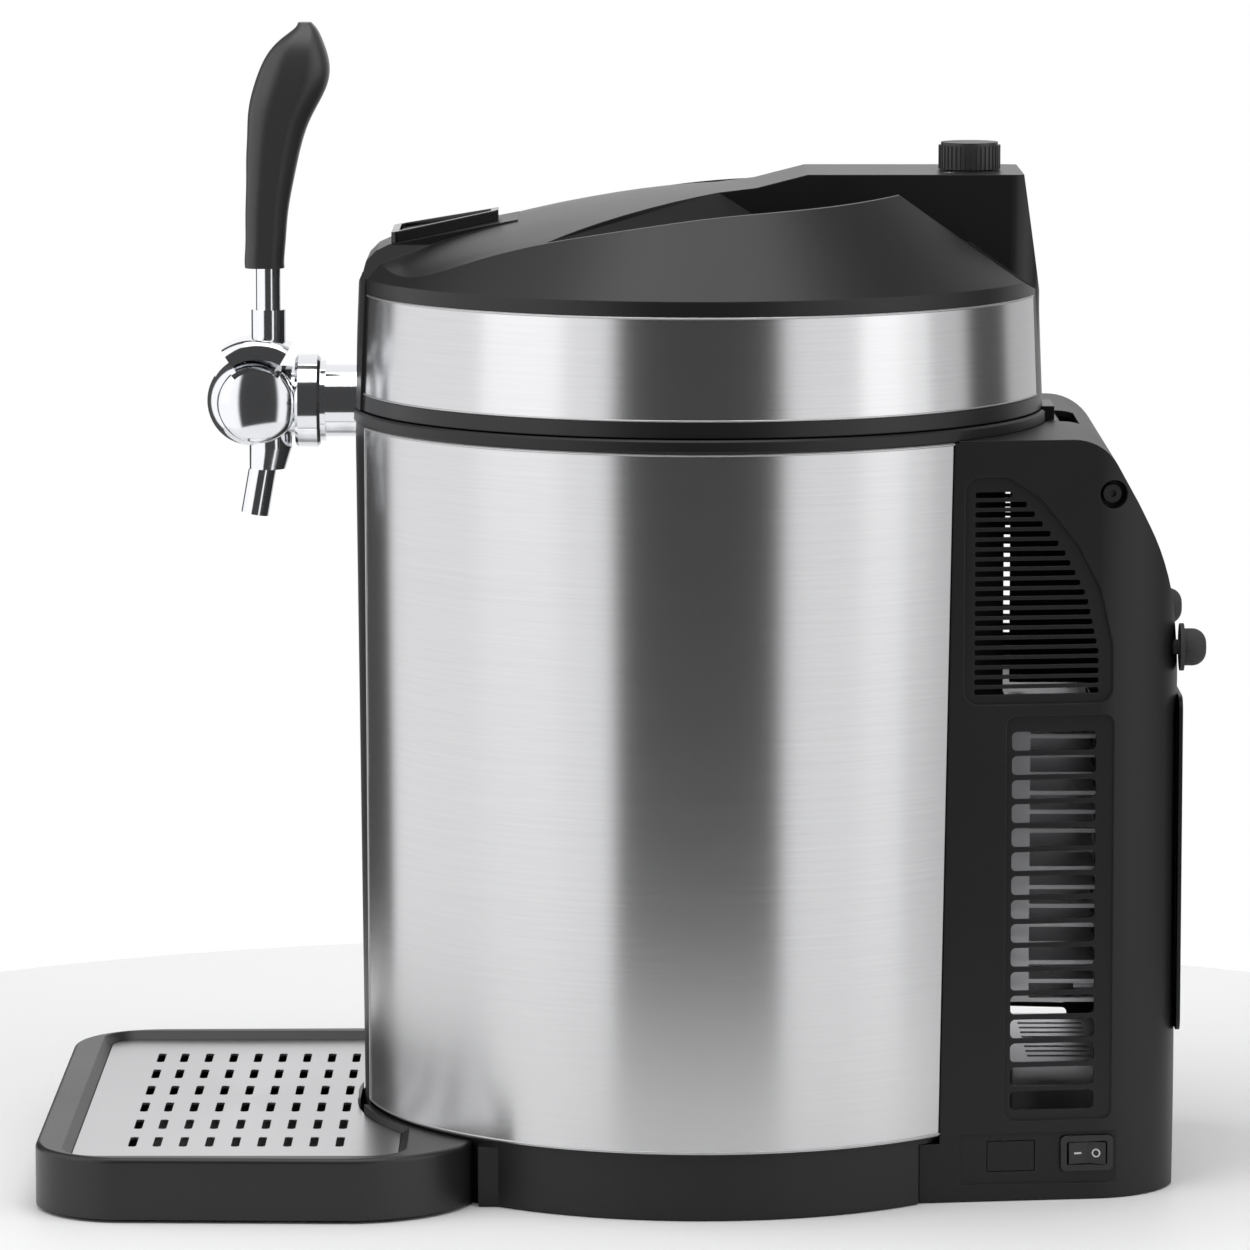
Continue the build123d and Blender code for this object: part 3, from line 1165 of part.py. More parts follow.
def regulator_spindle():
    """Steel spindle from the regulator up into the knob."""
    base = SHOULDER + 3
    return rod_z(SPINDLE_RADIUS, (base + 22.3, SHOULDER + BLOCK_TOP + 8), 0, KNOB_Y)


def regulator_knob():
    """Fluted knob with a pointer, on the lid's raised block."""
    low = SHOULDER + BLOCK_TOP + KNOB_GAP
    face = Circle(KNOB_RADIUS)
    for i in range(KNOB_FLUTES):
        turn = math.radians(i * 360 / KNOB_FLUTES)
        face -= Pos(KNOB_RADIUS * math.cos(turn), KNOB_RADIUS * math.sin(turn)) * Circle(0.55)
    knob = plan_prism(Pos(0, KNOB_Y) * face, (low, low + KNOB_HEIGHT - 1.2))
    knob += rod_z(KNOB_RADIUS - 1.0, (low + KNOB_HEIGHT - 1.2, low + KNOB_HEIGHT), 0, KNOB_Y)
    knob -= rod_z(SPINDLE_RADIUS, (low - 1, SHOULDER + BLOCK_TOP + 8), 0, KNOB_Y)
    knob -= tube_z(KNOB_RADIUS - 2.2, SPINDLE_RADIUS + 2, (low - 1, low + KNOB_HEIGHT - 3), 0, KNOB_Y)
    return knob - block((-0.6, 0.6), (KNOB_Y - KNOB_RADIUS, KNOB_Y - 3), (low + KNOB_HEIGHT - 0.6, FAR))


def co2_cartridge():
    """Steel gas cartridge lying along the lid."""
    neck_end = KNOB_Y - REGULATOR_RADIUS - 1
    body = rod_y(CARTRIDGE_RADIUS, (neck_end - CARTRIDGE_LENGTH - 10, neck_end - 10), 0, CARTRIDGE_Z)
    body = fillet(body.edges().filter_by(GeomType.CIRCLE), 7.5)
    body += rod_y(4.4, (neck_end - 12, neck_end - 0.3), 0, CARTRIDGE_Z)
    wall = 1.4
    inner_y = (neck_end - CARTRIDGE_LENGTH - 10 + wall, neck_end - 10 - wall)
    hollow = rod_y(CARTRIDGE_RADIUS - wall, inner_y, 0, CARTRIDGE_Z)
    return body - fillet(hollow.edges().filter_by(GeomType.CIRCLE), 7.5 - wall)


def cartridge_holder():
    """Closed plastic tube that presses the cartridge onto the regulator."""
    rear = KNOB_Y - REGULATOR_RADIUS - GAP
    front = rear - CARTRIDGE_LENGTH - 14
    inner = CARTRIDGE_RADIUS + GAP
    tube = rod_y(inner + HOLDER_WALL, (front, rear), 0, CARTRIDGE_Z)
    tube -= rod_y(inner, (front + 2.6, rear + 1), 0, CARTRIDGE_Z)
    ring = rod_y(inner + 0.1, (rear - 4.5, rear), 0, CARTRIDGE_Z) - rod_y(8.55, (rear - 6, rear + 1), 0, CARTRIDGE_Z)
    foot = block((-9, 9), (front + 10, front + 60), (FOAM_TOP, CARTRIDGE_Z - inner - 0.5))
    return tube + ring + foot


def gas_pipe():
    """Pipe from the regulator down through the liner."""
    z = SHOULDER + 6.5
    y = KNOB_Y + 2
    pipe = rod_x(PIPE_RADIUS, (REGULATOR_RADIUS - 0.5, PIPE_X), y, z) + Pos(PIPE_X, y, z) * Sphere(PIPE_RADIUS)
    pipe += rod_y(PIPE_RADIUS, (PIPE_Y, y), PIPE_X, z) + Pos(PIPE_X, PIPE_Y, z) * Sphere(PIPE_RADIUS)
    pipe += rod_z(PIPE_RADIUS, (LINER_CEILING - 9, z), PIPE_X, PIPE_Y)
    pipe += rod_z(PIPE_RADIUS + 1, (LINER_CEILING - 4, LINER_CEILING - 0.2), PIPE_X, PIPE_Y)
    pipe -= rod_z(REGULATOR_RADIUS, (SHOULDER, FAR), 0, KNOB_Y)
    return pipe - rod_z(PIPE_RADIUS - 1.2, (LINER_CEILING - 10, z), PIPE_X, PIPE_Y)


# ---------------------------------------------------------------- tap
def sector_x(from_angle, to_angle, x):
    """Wedge about the lever's pivot between two angles from upright, rear positive."""
    steps = 6
    reach = 40.0
    points = [(PIVOT_Y, TAP_Z)]
    for i in range(steps + 1):
        angle = math.radians(from_angle + (to_angle - from_angle) * i / steps)
        points.append((PIVOT_Y + reach * math.sin(angle), TAP_Z + reach * math.cos(angle)))
    return side_prism(points, x)


def spout_block():
    """Tapering block under the tap head that takes the spout."""
    side = SPOUT_Y - SPOUT_RADIUS + 0.3
    upper = Plane.XY.offset(SPOUT_Z + 8.5) * Pos(0, side + SPOUT_BLOCK_RADIUS) * Circle(SPOUT_BLOCK_RADIUS)
    lower = Plane.XY.offset(SPOUT_Z) * Pos(0, side + SPOUT_BLOCK_END_RADIUS) * Circle(SPOUT_BLOCK_END_RADIUS)
    neck = rod_z(SPOUT_BLOCK_RADIUS, (SPOUT_Z + 8.5, TAP_Z - 10), 0, side + SPOUT_BLOCK_RADIUS)
    return neck + loft([lower, upper])


def tap_body():
    """Round tap head with its neck and spout block, slotted for the lever."""
    half = BALL_HALF_WIDTH
    collar_front = -SHANK_FRONT - WASHER_THICKNESS - COLLAR_LENGTH
    body = Pos(0, BALL_Y, TAP_Z) * Sphere(BALL_RADIUS) + rod_y(NECK_RADIUS, (BALL_Y, collar_front + 1), 0, TAP_Z)
    body = (body + spout_block()) & block((-half, half), (-FAR, 0), (0, FAR))
    body += rod_y(NECK_RADIUS, (collar_front, -SHANK_FRONT), 0, TAP_Z)
    body -= rod_y(SHANK_BORE, (BALL_Y + 13, -SHANK_FRONT + 1), 0, TAP_Z)
    body -= rod_z(SPOUT_BORE, (SPOUT_Z - 1, TAP_Z - 9), 0, SPOUT_Y)
    slot = (-TONGUE_HALF - GAP, TONGUE_HALF + GAP)
    body -= sector_x(-TONGUE_SPAN - LEVER_TRAVEL - 4, TONGUE_SPAN + 3, slot)
    body -= rod_x(HUB_RADIUS + GAP, slot, PIVOT_Y, TAP_Z)
    return body - rod_x(PIVOT_RADIUS, (-half - 1, half + 1), PIVOT_Y, TAP_Z)


def pivot_pin():
    """Pin across the tap head on which the lever turns."""
    return rod_x(PIVOT_RADIUS, (-BALL_HALF_WIDTH, BALL_HALF_WIDTH), PIVOT_Y, TAP_Z)


def pivot_caps():
    """Rounded covers on both sides of the tap head, notched under the lever's hood."""
    x = (BALL_HALF_WIDTH, BALL_HALF_WIDTH + CAP_THICKNESS)
    cap = rod_x(CAP_RADIUS, x, PIVOT_Y, TAP_Z)
    cap = fillet(cap.edges().group_by(Axis.X)[-1], CAP_ROUNDING)
    beyond = (x[0] - 1, x[1] + 1)
    cap -= sector_x(*CAP_WINDOW, beyond) - rod_x(CAP_WINDOW_RADIUS, beyond, PIVOT_Y, TAP_Z)
    cap -= rod_y(COLLAR_RADIUS, (-SHANK_FRONT - WASHER_THICKNESS - COLLAR_LENGTH, 0), 0, TAP_Z)
    return [cap, mirror(cap, about=Plane.YZ)]


def lever_yoke():
    """Hood over the tap head, with cheeks beside it and a tongue to the pivot."""
    half = YOKE_HALF_WIDTH
    inner = BALL_RADIUS + PIVOT_Y - BALL_Y + GAP
    room = BALL_HALF_WIDTH + GAP
    hood = rod_x(inner + YOKE_THICKNESS, (-half, half), PIVOT_Y, TAP_Z)
    hood = fillet(hood.edges().filter_by(GeomType.CIRCLE), YOKE_ROUNDING) & sector_x(*YOKE_SPAN, (-half, half))
    hood -= rod_x(YOKE_CHEEK_RADIUS, (-half - 1, half + 1), PIVOT_Y, TAP_Z)
    hood -= rod_x(inner, (-room, room), PIVOT_Y, TAP_Z)
    boss = rod_z(STEM_BOSS_RADIUS, (TAP_Z + inner + 1, STEM_BOSS_TOP), 0, STEM_Y)
    tongue_x = (-TONGUE_HALF, TONGUE_HALF)
    tongue = sector_x(-TONGUE_SPAN, TONGUE_SPAN, tongue_x) & rod_x(inner + 1, tongue_x, PIVOT_Y, TAP_Z)
    yoke = hood + boss + tongue + rod_x(HUB_RADIUS, tongue_x, PIVOT_Y, TAP_Z)
    yoke -= rod_z(STEM_THREAD_RADIUS, (STEM_BOSS_TOP - STEM_LOWER_THREAD, STEM_BOSS_TOP + 1), 0, STEM_Y)
    return yoke - rod_x(PIVOT_RADIUS + RUNNING, (-half, half), PIVOT_Y, TAP_Z)


def lever_stem():
    """Rod between the lever's hood and its handle, threaded at both ends."""
    stem = rod_z(STEM_RADIUS, (STEM_BOSS_TOP, HANDLE_BASE), 0, STEM_Y)
    thread_z = (STEM_BOSS_TOP - STEM_LOWER_THREAD, HANDLE_BASE + STEM_UPPER_THREAD)
    return stem + rod_z(STEM_THREAD_RADIUS, thread_z, 0, STEM_Y)


def tap_handle():
    """Paddle-shaped handle that widens and leans back towards its top."""
    sections = []
    for step, (y, depth, width) in enumerate(HANDLE_SECTIONS):
        face = Pos(0, STEM_Y + y) * RectangleRounded(width, depth, min(depth, width) * 0.36)
        sections.append(Plane.XY.offset(HANDLE_BASE + step * HANDLE_STEP) * face)
    return loft(sections) - rod_z(STEM_THREAD_RADIUS, (HANDLE_BASE - 1, HANDLE_BASE + STEM_UPPER_THREAD), 0, STEM_Y)


def tap_spout():
    """Slanting pipe under the tap head."""
    lean = Rot(-SPOUT_LEAN, 0, 0)
    pipe = Cylinder(SPOUT_RADIUS, 2 * SPOUT_LENGTH) - Cylinder(SPOUT_BORE, 2 * SPOUT_LENGTH + 2)
    pipe = Pos(0, SPOUT_Y, SPOUT_Z) * lean * pipe
    return pipe & block((-20, 20), (-FAR, 0), (0, SPOUT_Z))


def tap_collar():
    """Union nut behind the tap head."""
    front, rear = -SHANK_FRONT - WASHER_THICKNESS - COLLAR_LENGTH, -SHANK_FRONT - WASHER_THICKNESS
    ring = rod_y(COLLAR_RADIUS, (front, rear), 0, TAP_Z)
    ring = chamfer(ring.edges().filter_by(GeomType.CIRCLE), 1.2)
    return ring - rod_y(NECK_RADIUS + 0.1, (front - 1, rear + 1), 0, TAP_Z)


def shank_washer():
    """Thin ring between the union nut and the shank."""
    ring = rod_y(WASHER_RADIUS, (-SHANK_FRONT - WASHER_THICKNESS, -SHANK_FRONT), 0, TAP_Z)
    return ring - rod_y(NECK_RADIUS + 0.1, (-SHANK_FRONT - 5, -SHANK_FRONT + 1), 0, TAP_Z)


def tap_shank():
    """Wide tube that carries the tap in the front notch."""
    tube = rod_y(SHANK_RADIUS, (-SHANK_FRONT, -SHANK_REAR), 0, TAP_Z)
    return tube - rod_y(SHANK_BORE, (-SHANK_FRONT - 1, -SHANK_REAR + 1), 0, TAP_Z)


def shank_nut():
    """Six-sided nut on the shank inside the cabinet."""
    rear = -NUT_FRONT + NUT_LENGTH
    face = RegularPolygon(NUT_RADIUS, 6) - Circle(SHANK_RADIUS)
    return extrude(Plane.XZ.offset(-rear) * Pos(0, TAP_Z) * face, amount=NUT_LENGTH)


def beer_line():
    """Steel tube from the shank to the keg coupler."""
    tube = rod_y(SHANK_BORE - 0.1, (-SHANK_REAR - 8, -COUPLER_RADIUS + 0.3), 0, TAP_Z)
    return tube - rod_y(SHANK_BORE - 1.4, (-SHANK_REAR - 9, -COUPLER_RADIUS + 1), 0, TAP_Z)


def keg_coupler():
    """Coupler that plugs onto the keg's mouth."""
    low = BODY_TOP + 1.5
    body = rod_z(COUPLER_RADIUS, (low, low + 14)) + rod_z(COUPLER_RADIUS - 7, (low, low + 26))
    body -= rod_y(SHANK_BORE - 0.1, (-COUPLER_RADIUS - 1, -COUPLER_RADIUS + 0.3), 0, TAP_Z)
    body -= rod_y(SHANK_BORE - 1.4, (-COUPLER_RADIUS - 1, 0), 0, TAP_Z)
    return body - rod_z(6, (low - 1, low + 8))


# ---------------------------------------------------------------- drip tray
def tray_plan(inset):
    """Plan of the drip tray, hollowed at the rear for the plinth."""
    wide, narrow = TRAY_HALF_WIDTH - inset, TRAY_HALF_WIDTH - TRAY_NARROWING - inset
    front, rear = -TRAY_FRONT + inset, -TRAY_REAR - inset
    face = make_face(Polyline((-narrow, front), (narrow, front), (wide, rear), (-wide, rear), close=True))
    face = fillet(face.vertices().group_by(Axis.Y)[0], TRAY_FRONT_CORNER - inset)
    face = fillet(face.vertices().filter_by(lambda v: v.Y > rear - 1), TRAY_REAR_CORNER - inset)
    return face - Circle(PLINTH_RADIUS + TRAY_CLEARANCE + inset)


def grid_outline(inset):
    """Rounded four-sided outline of the grid, before it is hollowed for the plinth."""
    half = GRID_HALF_WIDTH - inset
    front, rear = -GRID_FRONT + inset, -GRID_REAR - inset
    face = make_face(Polyline((-half, front), (half, front), (half, rear), (-half, rear), close=True))
    return fillet(face.vertices(), GRID_CORNER - inset)


def grid_plan(inset):
    """Plan of the perforated grid, set in from the tray's edge."""
    return grid_outline(inset) - Circle(PLINTH_RADIUS + TRAY_CLEARANCE + GRID_REAR_WALL + inset)


def grid_seat():
    """Opening of the tray over the grid, with walls that slope out to the rim."""
    rear = PLINTH_RADIUS + TRAY_CLEARANCE + GRID_REAR_WALL - GAP
    lower = Plane.XY.offset(GRID_TOP) * grid_outline(-GAP)
    upper = Plane.XY.offset(TRAY_TOP + GAP) * grid_outline(-2 * GAP - GRID_DROP)
    funnel = loft([lower, upper]) - rod_z(rear, (0, FAR))
    return funnel + plan_prism(grid_plan(-GAP), (GRID_TOP - GRID_THICKNESS, GRID_TOP))


def drip_tray():
    """Tray in front of the cabinet, with a broad rim and a basin."""
    tray = plan_prism(tray_plan(0), (TRAY_STAND, TRAY_TOP))
    tray = fillet(tray.edges().group_by(Axis.Z)[-1], 2.0)
    tray -= plan_prism(grid_plan(TRAY_WALL), (TRAY_STAND + TRAY_FLOOR, GRID_TOP))
    tray -= grid_seat()
    rim_hollow = tray_plan(TRAY_WALL) - grid_outline(0) - Circle(PLINTH_RADIUS + TRAY_CLEARANCE + GRID_REAR_WALL + 2 * TRAY_WALL)
    tray -= plan_prism(rim_hollow, (TRAY_STAND - 1, GRID_TOP - GRID_THICKNESS - TRAY_FLOOR))
    lip = SPINE_HALF_BOTTOM + 2
    tray -= block((-lip, lip), (-body_radius(PLINTH_TOP) - 1.5, 0), (PLINTH_TOP - SPINE_LIP - GAP, FAR))
    for x, y in tray_foot_places():
        tray -= rod_z(FOOT_RADIUS, (TRAY_STAND - 1, TRAY_STAND + FOOT_RECESS), x, y)
    return tray


def tray_foot_places():
    """Centres of the tray's four feet."""
    half = TRAY_HALF_WIDTH - 46.0
    return [(x, y) for x in (-half, half) for y in (37.5 - TRAY_FRONT, -PLINTH_RADIUS - 33.5)]


def tray_feet():
    """Rubber discs let into the tray's floor."""
    return [rod_z(FOOT_RADIUS, (0, TRAY_STAND + FOOT_RECESS), x, y) for x, y in tray_foot_places()]


def drip_grid():
    """Perforated steel plate that lies in the tray."""
    plate = grid_plan(0)
    columns = [GRID_LAST_COLUMN + i * GRID_PITCH_Y for i in range(GRID_COLUMNS)] + [GRID_FIRST_COLUMN]
    for row in range(GRID_ROWS):
        x = (row - (GRID_ROWS - 1) / 2) * GRID_PITCH_X
        for y in columns:
            plate -= Pos(x, -y) * SlotOverall(GRID_SLOT_LENGTH, GRID_SLOT_WIDTH)
    return plan_prism(plate, (GRID_TOP - GRID_THICKNESS, GRID_TOP))


# ---------------------------------------------------------------- write-out
def write(name, shape):
    """Write one node, moved so that the origin is under the machine's middle."""
    pieces = shape if isinstance(shape, list) else [shape]
    solids = [solid for piece in pieces for solid in piece.solids()]
    moved = [Pos(0, KEG_Y, 0) * solid for solid in solids]
    export_step(moved[0] if len(moved) == 1 else Compound(children=moved), f"parts/{name}.step")


NODES = {
    "feet": feet,
    "base_plate": base_plate,
    "base_plinth": base_plinth,
    "cabinet_shell": cabinet_shell,
    "side_skin_right": lambda: side_skin(1),
    "side_skin_left": lambda: side_skin(-1),
    "front_spine": front_spine,
    "top_ring": top_ring,
    "well_liner": well_liner,
    "well_foam": well_foam,
    "cold_block": cold_block,
    "peltier_module": peltier_module,
    "heatsink": heatsink,
    "fan_frame": fan_frame,
    "fan_rotor": fan_rotor,
    "fan_screws": fan_screws,
    "power_supply": power_supply,
    "rear_housing": rear_housing,
    "housing_screws": housing_screws,
    "rear_grille": rear_grille,
    "wall_bumpers": wall_bumpers,
    "switch_bezel": switch_bezel,
    "switch_rocker": switch_rocker,
    "blank_cover": blank_cover,
    "power_inlet": power_inlet,
    "hinge_bracket": hinge_bracket,
    "hinge_pin": hinge_pin,
    "hinge_leaf": hinge_leaf,
    "lid_cover": lid_cover,
    "lid_skin_right": lambda: lid_skin(1),
    "lid_skin_left": lambda: lid_skin(-1),
    "lid_liner": lid_liner,
    "lid_foam": lid_foam,
    "lid_seal": lid_seal,
    "latch_bezel": latch_bezel,
    "latch_button": latch_button,
    "latch_hook": latch_hook,
    "latch_pin": latch_pin,
    "regulator_body": regulator_body,
    "regulator_spindle": regulator_spindle,
    "regulator_knob": regulator_knob,
    "co2_cartridge": co2_cartridge,
    "cartridge_holder": cartridge_holder,
    "gas_pipe": gas_pipe,
    "tap_body": tap_body,
    "pivot_pin": pivot_pin,
    "pivot_caps": pivot_caps,
    "lever_yoke": lever_yoke,
    "lever_stem": lever_stem,
    "tap_handle": tap_handle,
    "tap_spout": tap_spout,
    "tap_collar": tap_collar,
    "shank_washer": shank_washer,
    "tap_shank": tap_shank,
    "shank_nut": shank_nut,
    "beer_line": beer_line,
    "keg_coupler": keg_coupler,
    "drip_tray": drip_tray,
    "tray_feet": tray_feet,
    "drip_grid": drip_grid,
}

os.makedirs("parts", exist_ok=True)
for node_name, build_node in NODES.items():
    write(node_name, build_node())
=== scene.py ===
"""Looks of a counter-top beer dispenser: finishes, fine pieces, camera and studio light.

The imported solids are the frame. Lengths are in metres, +Z is up, the tap faces -Y and +X is the
side with the power switch. The keg's axis stands at Y = KEG_Y. Only places about the keg's axis
are given in millimetres, and about_keg turns them into points of the frame.
"""

from __future__ import annotations

import json
import logging
import math
from dataclasses import dataclass, field
from enum import Enum
from typing import Any, Sequence, Union

import bmesh
import bpy
from mathutils import Matrix, Vector

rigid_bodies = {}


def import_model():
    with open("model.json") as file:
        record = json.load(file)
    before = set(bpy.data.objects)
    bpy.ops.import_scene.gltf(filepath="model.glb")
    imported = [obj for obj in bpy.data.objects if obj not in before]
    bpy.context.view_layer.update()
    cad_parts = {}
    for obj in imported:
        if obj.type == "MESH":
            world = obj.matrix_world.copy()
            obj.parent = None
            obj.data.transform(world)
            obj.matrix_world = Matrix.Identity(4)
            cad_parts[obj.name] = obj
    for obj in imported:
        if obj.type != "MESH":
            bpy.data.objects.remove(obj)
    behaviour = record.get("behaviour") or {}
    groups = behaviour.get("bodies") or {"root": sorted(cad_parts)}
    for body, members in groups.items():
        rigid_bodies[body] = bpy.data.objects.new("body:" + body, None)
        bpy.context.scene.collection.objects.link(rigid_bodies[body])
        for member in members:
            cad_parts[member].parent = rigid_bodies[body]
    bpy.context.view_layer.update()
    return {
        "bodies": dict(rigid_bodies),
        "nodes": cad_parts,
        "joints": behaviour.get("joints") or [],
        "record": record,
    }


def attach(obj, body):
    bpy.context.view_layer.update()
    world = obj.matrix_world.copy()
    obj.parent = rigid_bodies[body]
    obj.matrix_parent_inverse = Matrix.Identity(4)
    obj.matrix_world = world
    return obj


LOG = logging.getLogger("dispenser")
KEG_Y = 0.03095
Number = Union[int, float]
Colour = tuple[float, float, float]
Point = tuple[float, float, float]


class Body(Enum):
    """Rigid bodies of the machine that carry a fine piece."""

    CABINET = "cabinet"
    LID = "lid"
    SWITCH = "power_switch"


# ------------------------------------------------------------------ shader graph
class Signal:
    """One output of a shader graph, with arithmetic that adds Math nodes."""

    def __init__(self, graph: Graph, socket: bpy.types.NodeSocket) -> None:
        """Keep the graph and the socket."""
        self.graph = graph
        self.socket = socket

    def _math(self, operation: str, first: Any, second: Any = None) -> Signal:
        """Add one Math node.

        Args:
            operation: Blender's name of the operation.
            first: left operand, a number or a signal.
            second: right operand, or None for a function of one value.

        Returns:
            The node's value.
        """
        sockets = {0: first} if second is None else {0: first, 1: second}
        return self.graph.add("ShaderNodeMath", "Value", {"operation": operation}, sockets)

    def __add__(self, other: Signal | Number) -> Signal:
        """Sum of two values."""
        return self._math("ADD", self, other)

    def __radd__(self, other: Number) -> Signal:
        """Sum with a number on the left."""
        return self._math("ADD", other, self)

    def __sub__(self, other: Signal | Number) -> Signal:
        """Difference of two values."""
        return self._math("SUBTRACT", self, other)

    def __rsub__(self, other: Number) -> Signal:
        """Difference with a number on the left."""
        return self._math("SUBTRACT", other, self)

    def __mul__(self, other: Signal | Number) -> Signal:
        """Product of two values."""
        return self._math("MULTIPLY", self, other)

    def __rmul__(self, other: Number) -> Signal:
        """Product with a number on the left."""
        return self._math("MULTIPLY", other, self)

    def ramp(self, low: Number, high: Number) -> Signal:
        """Rise from 0 at low to 1 at high, held flat outside."""
        sockets = {"Value": self, "From Min": low, "From Max": high}
        return self.graph.add("ShaderNodeMapRange", "Result", {"clamp": True}, sockets)


class Graph:
    """Node tree of one material or of the surroundings."""

    # Numbers of the Mix node's colour sockets, which share their names with its other sockets
    COLOUR_A = 6
    COLOUR_B = 7
    COLOUR_RESULT = 2
    BEVEL_SAMPLES = 4
    EDGE_GAIN = 3.0

    def __init__(self, tree: bpy.types.NodeTree) -> None:
        """Empty the tree and keep it."""
        self.tree = tree
        tree.nodes.clear()

    def make(self, kind: str, settings: dict[str, Any], sockets: dict[Any, Any]) -> bpy.types.Node:
        """Add any node.

        Args:
            kind: Blender's type name of the node.
            settings: properties that are set first; "stops" holds a ramp's (place, colour) pairs.
            sockets: input names or numbers with the value or signal that each takes.

        Returns:
            The new node.
        """
        node = self.tree.nodes.new(kind)
        for key, value in settings.items():
            if key == "stops":
                self._set_stops(node.color_ramp, value)
            else:
                setattr(node, key, value)
        for key, value in sockets.items():
            if isinstance(value, Signal):
                self.tree.links.new(value.socket, node.inputs[key])
            else:
                node.inputs[key].default_value = value
        return node

    @staticmethod
    def _set_stops(ramp: bpy.types.ColorRamp, stops: Sequence[tuple[float, Colour]]) -> None:
        """Fill a colour ramp with (place, colour) pairs."""
        while len(ramp.elements) < len(stops):
            ramp.elements.new(0.5)
        for element, (place, colour) in zip(ramp.elements, stops):
            element.position = place
            element.color = (*colour, 1.0)

    def add(self, kind: str, output: str, settings: dict[str, Any], sockets: dict[Any, Any]) -> Signal:
        """Add any node and hand back one of its outputs as a signal."""
        return Signal(self, self.make(kind, settings, sockets).outputs[output])

    def place(self) -> Signal:
        """Position on the object, in metres of the machine's frame."""
        return self.add("ShaderNodeTexCoord", "Object", {}, {})

    def stretched(self, scale: Sequence[float]) -> Signal:
        """Position multiplied by a scale along each axis."""
        sockets = {"Vector": self.place(), "Scale": tuple(scale)}
        return self.add("ShaderNodeMapping", "Vector", {"vector_type": "POINT"}, sockets)

    def noise(self, scale: float, detail: float = 2.0, stretch: Sequence[float] = (1, 1, 1)) -> Signal:
        """Soft noise about 0.5.

        Args:
            scale: lumps in one metre.
            detail: octaves of finer noise.
            stretch: extra scale along X, Y and Z.

        Returns:
            The noise value.
        """
        place = self.stretched([scale * part for part in stretch])
        sockets = {"Vector": place, "Scale": 1.0, "Detail": detail}
        return self.add("ShaderNodeTexNoise", "Fac", {"noise_dimensions": "3D"}, sockets)

    def mix(self, share: Signal | Number, low: Any, high: Any) -> Signal:
        """Colour between low and high, which are signals or plain colours."""
        first, second = (end if isinstance(end, Signal) else (*end, 1.0) for end in (low, high))
        sockets = {"Factor": share, self.COLOUR_A: first, self.COLOUR_B: second}
        node = self.make("ShaderNodeMix", {"data_type": "RGBA", "clamp_factor": True}, sockets)
        return Signal(self, node.outputs[self.COLOUR_RESULT])

    def rounded(self, radius: float) -> Signal:
        """Normal with small roundings along sharp edges."""
        return self.add("ShaderNodeBevel", "Normal", {"samples": self.BEVEL_SAMPLES}, {"Radius": radius})

    def edges(self, rounded: Signal) -> Signal:
        """How far a rounded normal departs from the face, near 0 on flats."""
        face = self.add("ShaderNodeNewGeometry", "True Normal", {}, {})
        settings = {"operation": "DOT_PRODUCT"}
        likeness = self.add("ShaderNodeVectorMath", "Value", settings, {0: rounded, 1: face})
        return (1.0 - likeness) * self.EDGE_GAIN

    def bump(self, height: Signal, depth: float, normal: Signal | None = None) -> Signal:
        """Normal disturbed by a height between 0 and 1 that is worth the depth in metres."""
        sockets: dict[Any, Any] = {"Height": height, "Distance": depth, "Strength": 1.0}
        if normal is not None:
            sockets["Normal"] = normal
        return self.add("ShaderNodeBump", "Normal", {}, sockets)

    def finish(self, fixed: dict[str, Any], varying: dict[str, Signal]) -> None:
        """Close the graph with one surface shader.

        Args:
            fixed: numbers and colours set on the shader itself.
            varying: signals that change over the surface.
        """
        shader = self.make("ShaderNodeBsdfPrincipled", {}, {**fixed, **varying})
        output = self.tree.nodes.new("ShaderNodeOutputMaterial")
        self.tree.links.new(shader.outputs["BSDF"], output.inputs["Surface"])


@dataclass(frozen=True)
class Finish:
    """A named surface finish."""

    name: str

    def material(self) -> bpy.types.Material:
        """Material of this finish, made once."""
        found = bpy.data.materials.get(self.name)
        if found is not None:
            return found
        material = bpy.data.materials.new(self.name)
        material.use_nodes = True
        self.paint(Graph(material.node_tree))
        return material

    def paint(self, graph: Graph) -> None:
        """Fill the material's graph."""
        raise NotImplementedError


@dataclass(frozen=True)
class MouldedPlastic(Finish):
    """Spark-eroded moulded plastic with softly worn edges."""

    tint: Colour = (0.009, 0.009, 0.0095)
    roughness: float = 0.4
    grain: float = 900.0
    depth: float = 0.000012
    edge_radius: float = 0.0006
    edge_tint: Colour = (0.035, 0.035, 0.036)
    specular: float = 0.32
    wear: float = 0.5
    dust: float = 0.06
    mottling: float = 0.08
    flecks: float = 0.04

    def paint(self, graph: Graph) -> None:
        """Grain in the bump, blotches in tint and gloss, lighter edges."""
        rounded = graph.rounded(self.edge_radius)
        worn = graph.edges(rounded).ramp(0.02, 0.6) * graph.noise(70, 3).ramp(0.35, 0.75)
        blotch = graph.noise(14, 4)
        dust = graph.noise(2600, 1).ramp(0.72, 0.8)
        lighter = tuple(min(1.0, part * 1.12 + 0.0006) for part in self.tint)
        colour = graph.mix(blotch.ramp(0.3, 0.7), self.tint, lighter)
        colour = graph.mix(worn * self.wear + dust * self.dust, colour, self.edge_tint)
        lowest = self.roughness - self.mottling / 2
        gloss = lowest + blotch * self.mottling + graph.noise(420, 2) * self.flecks
        grain = graph.noise(self.grain, 3)
        graph.finish(
            {"Specular IOR Level": self.specular},
            {"Base Color": colour, "Roughness": gloss, "Normal": graph.bump(grain, self.depth, rounded)},
        )


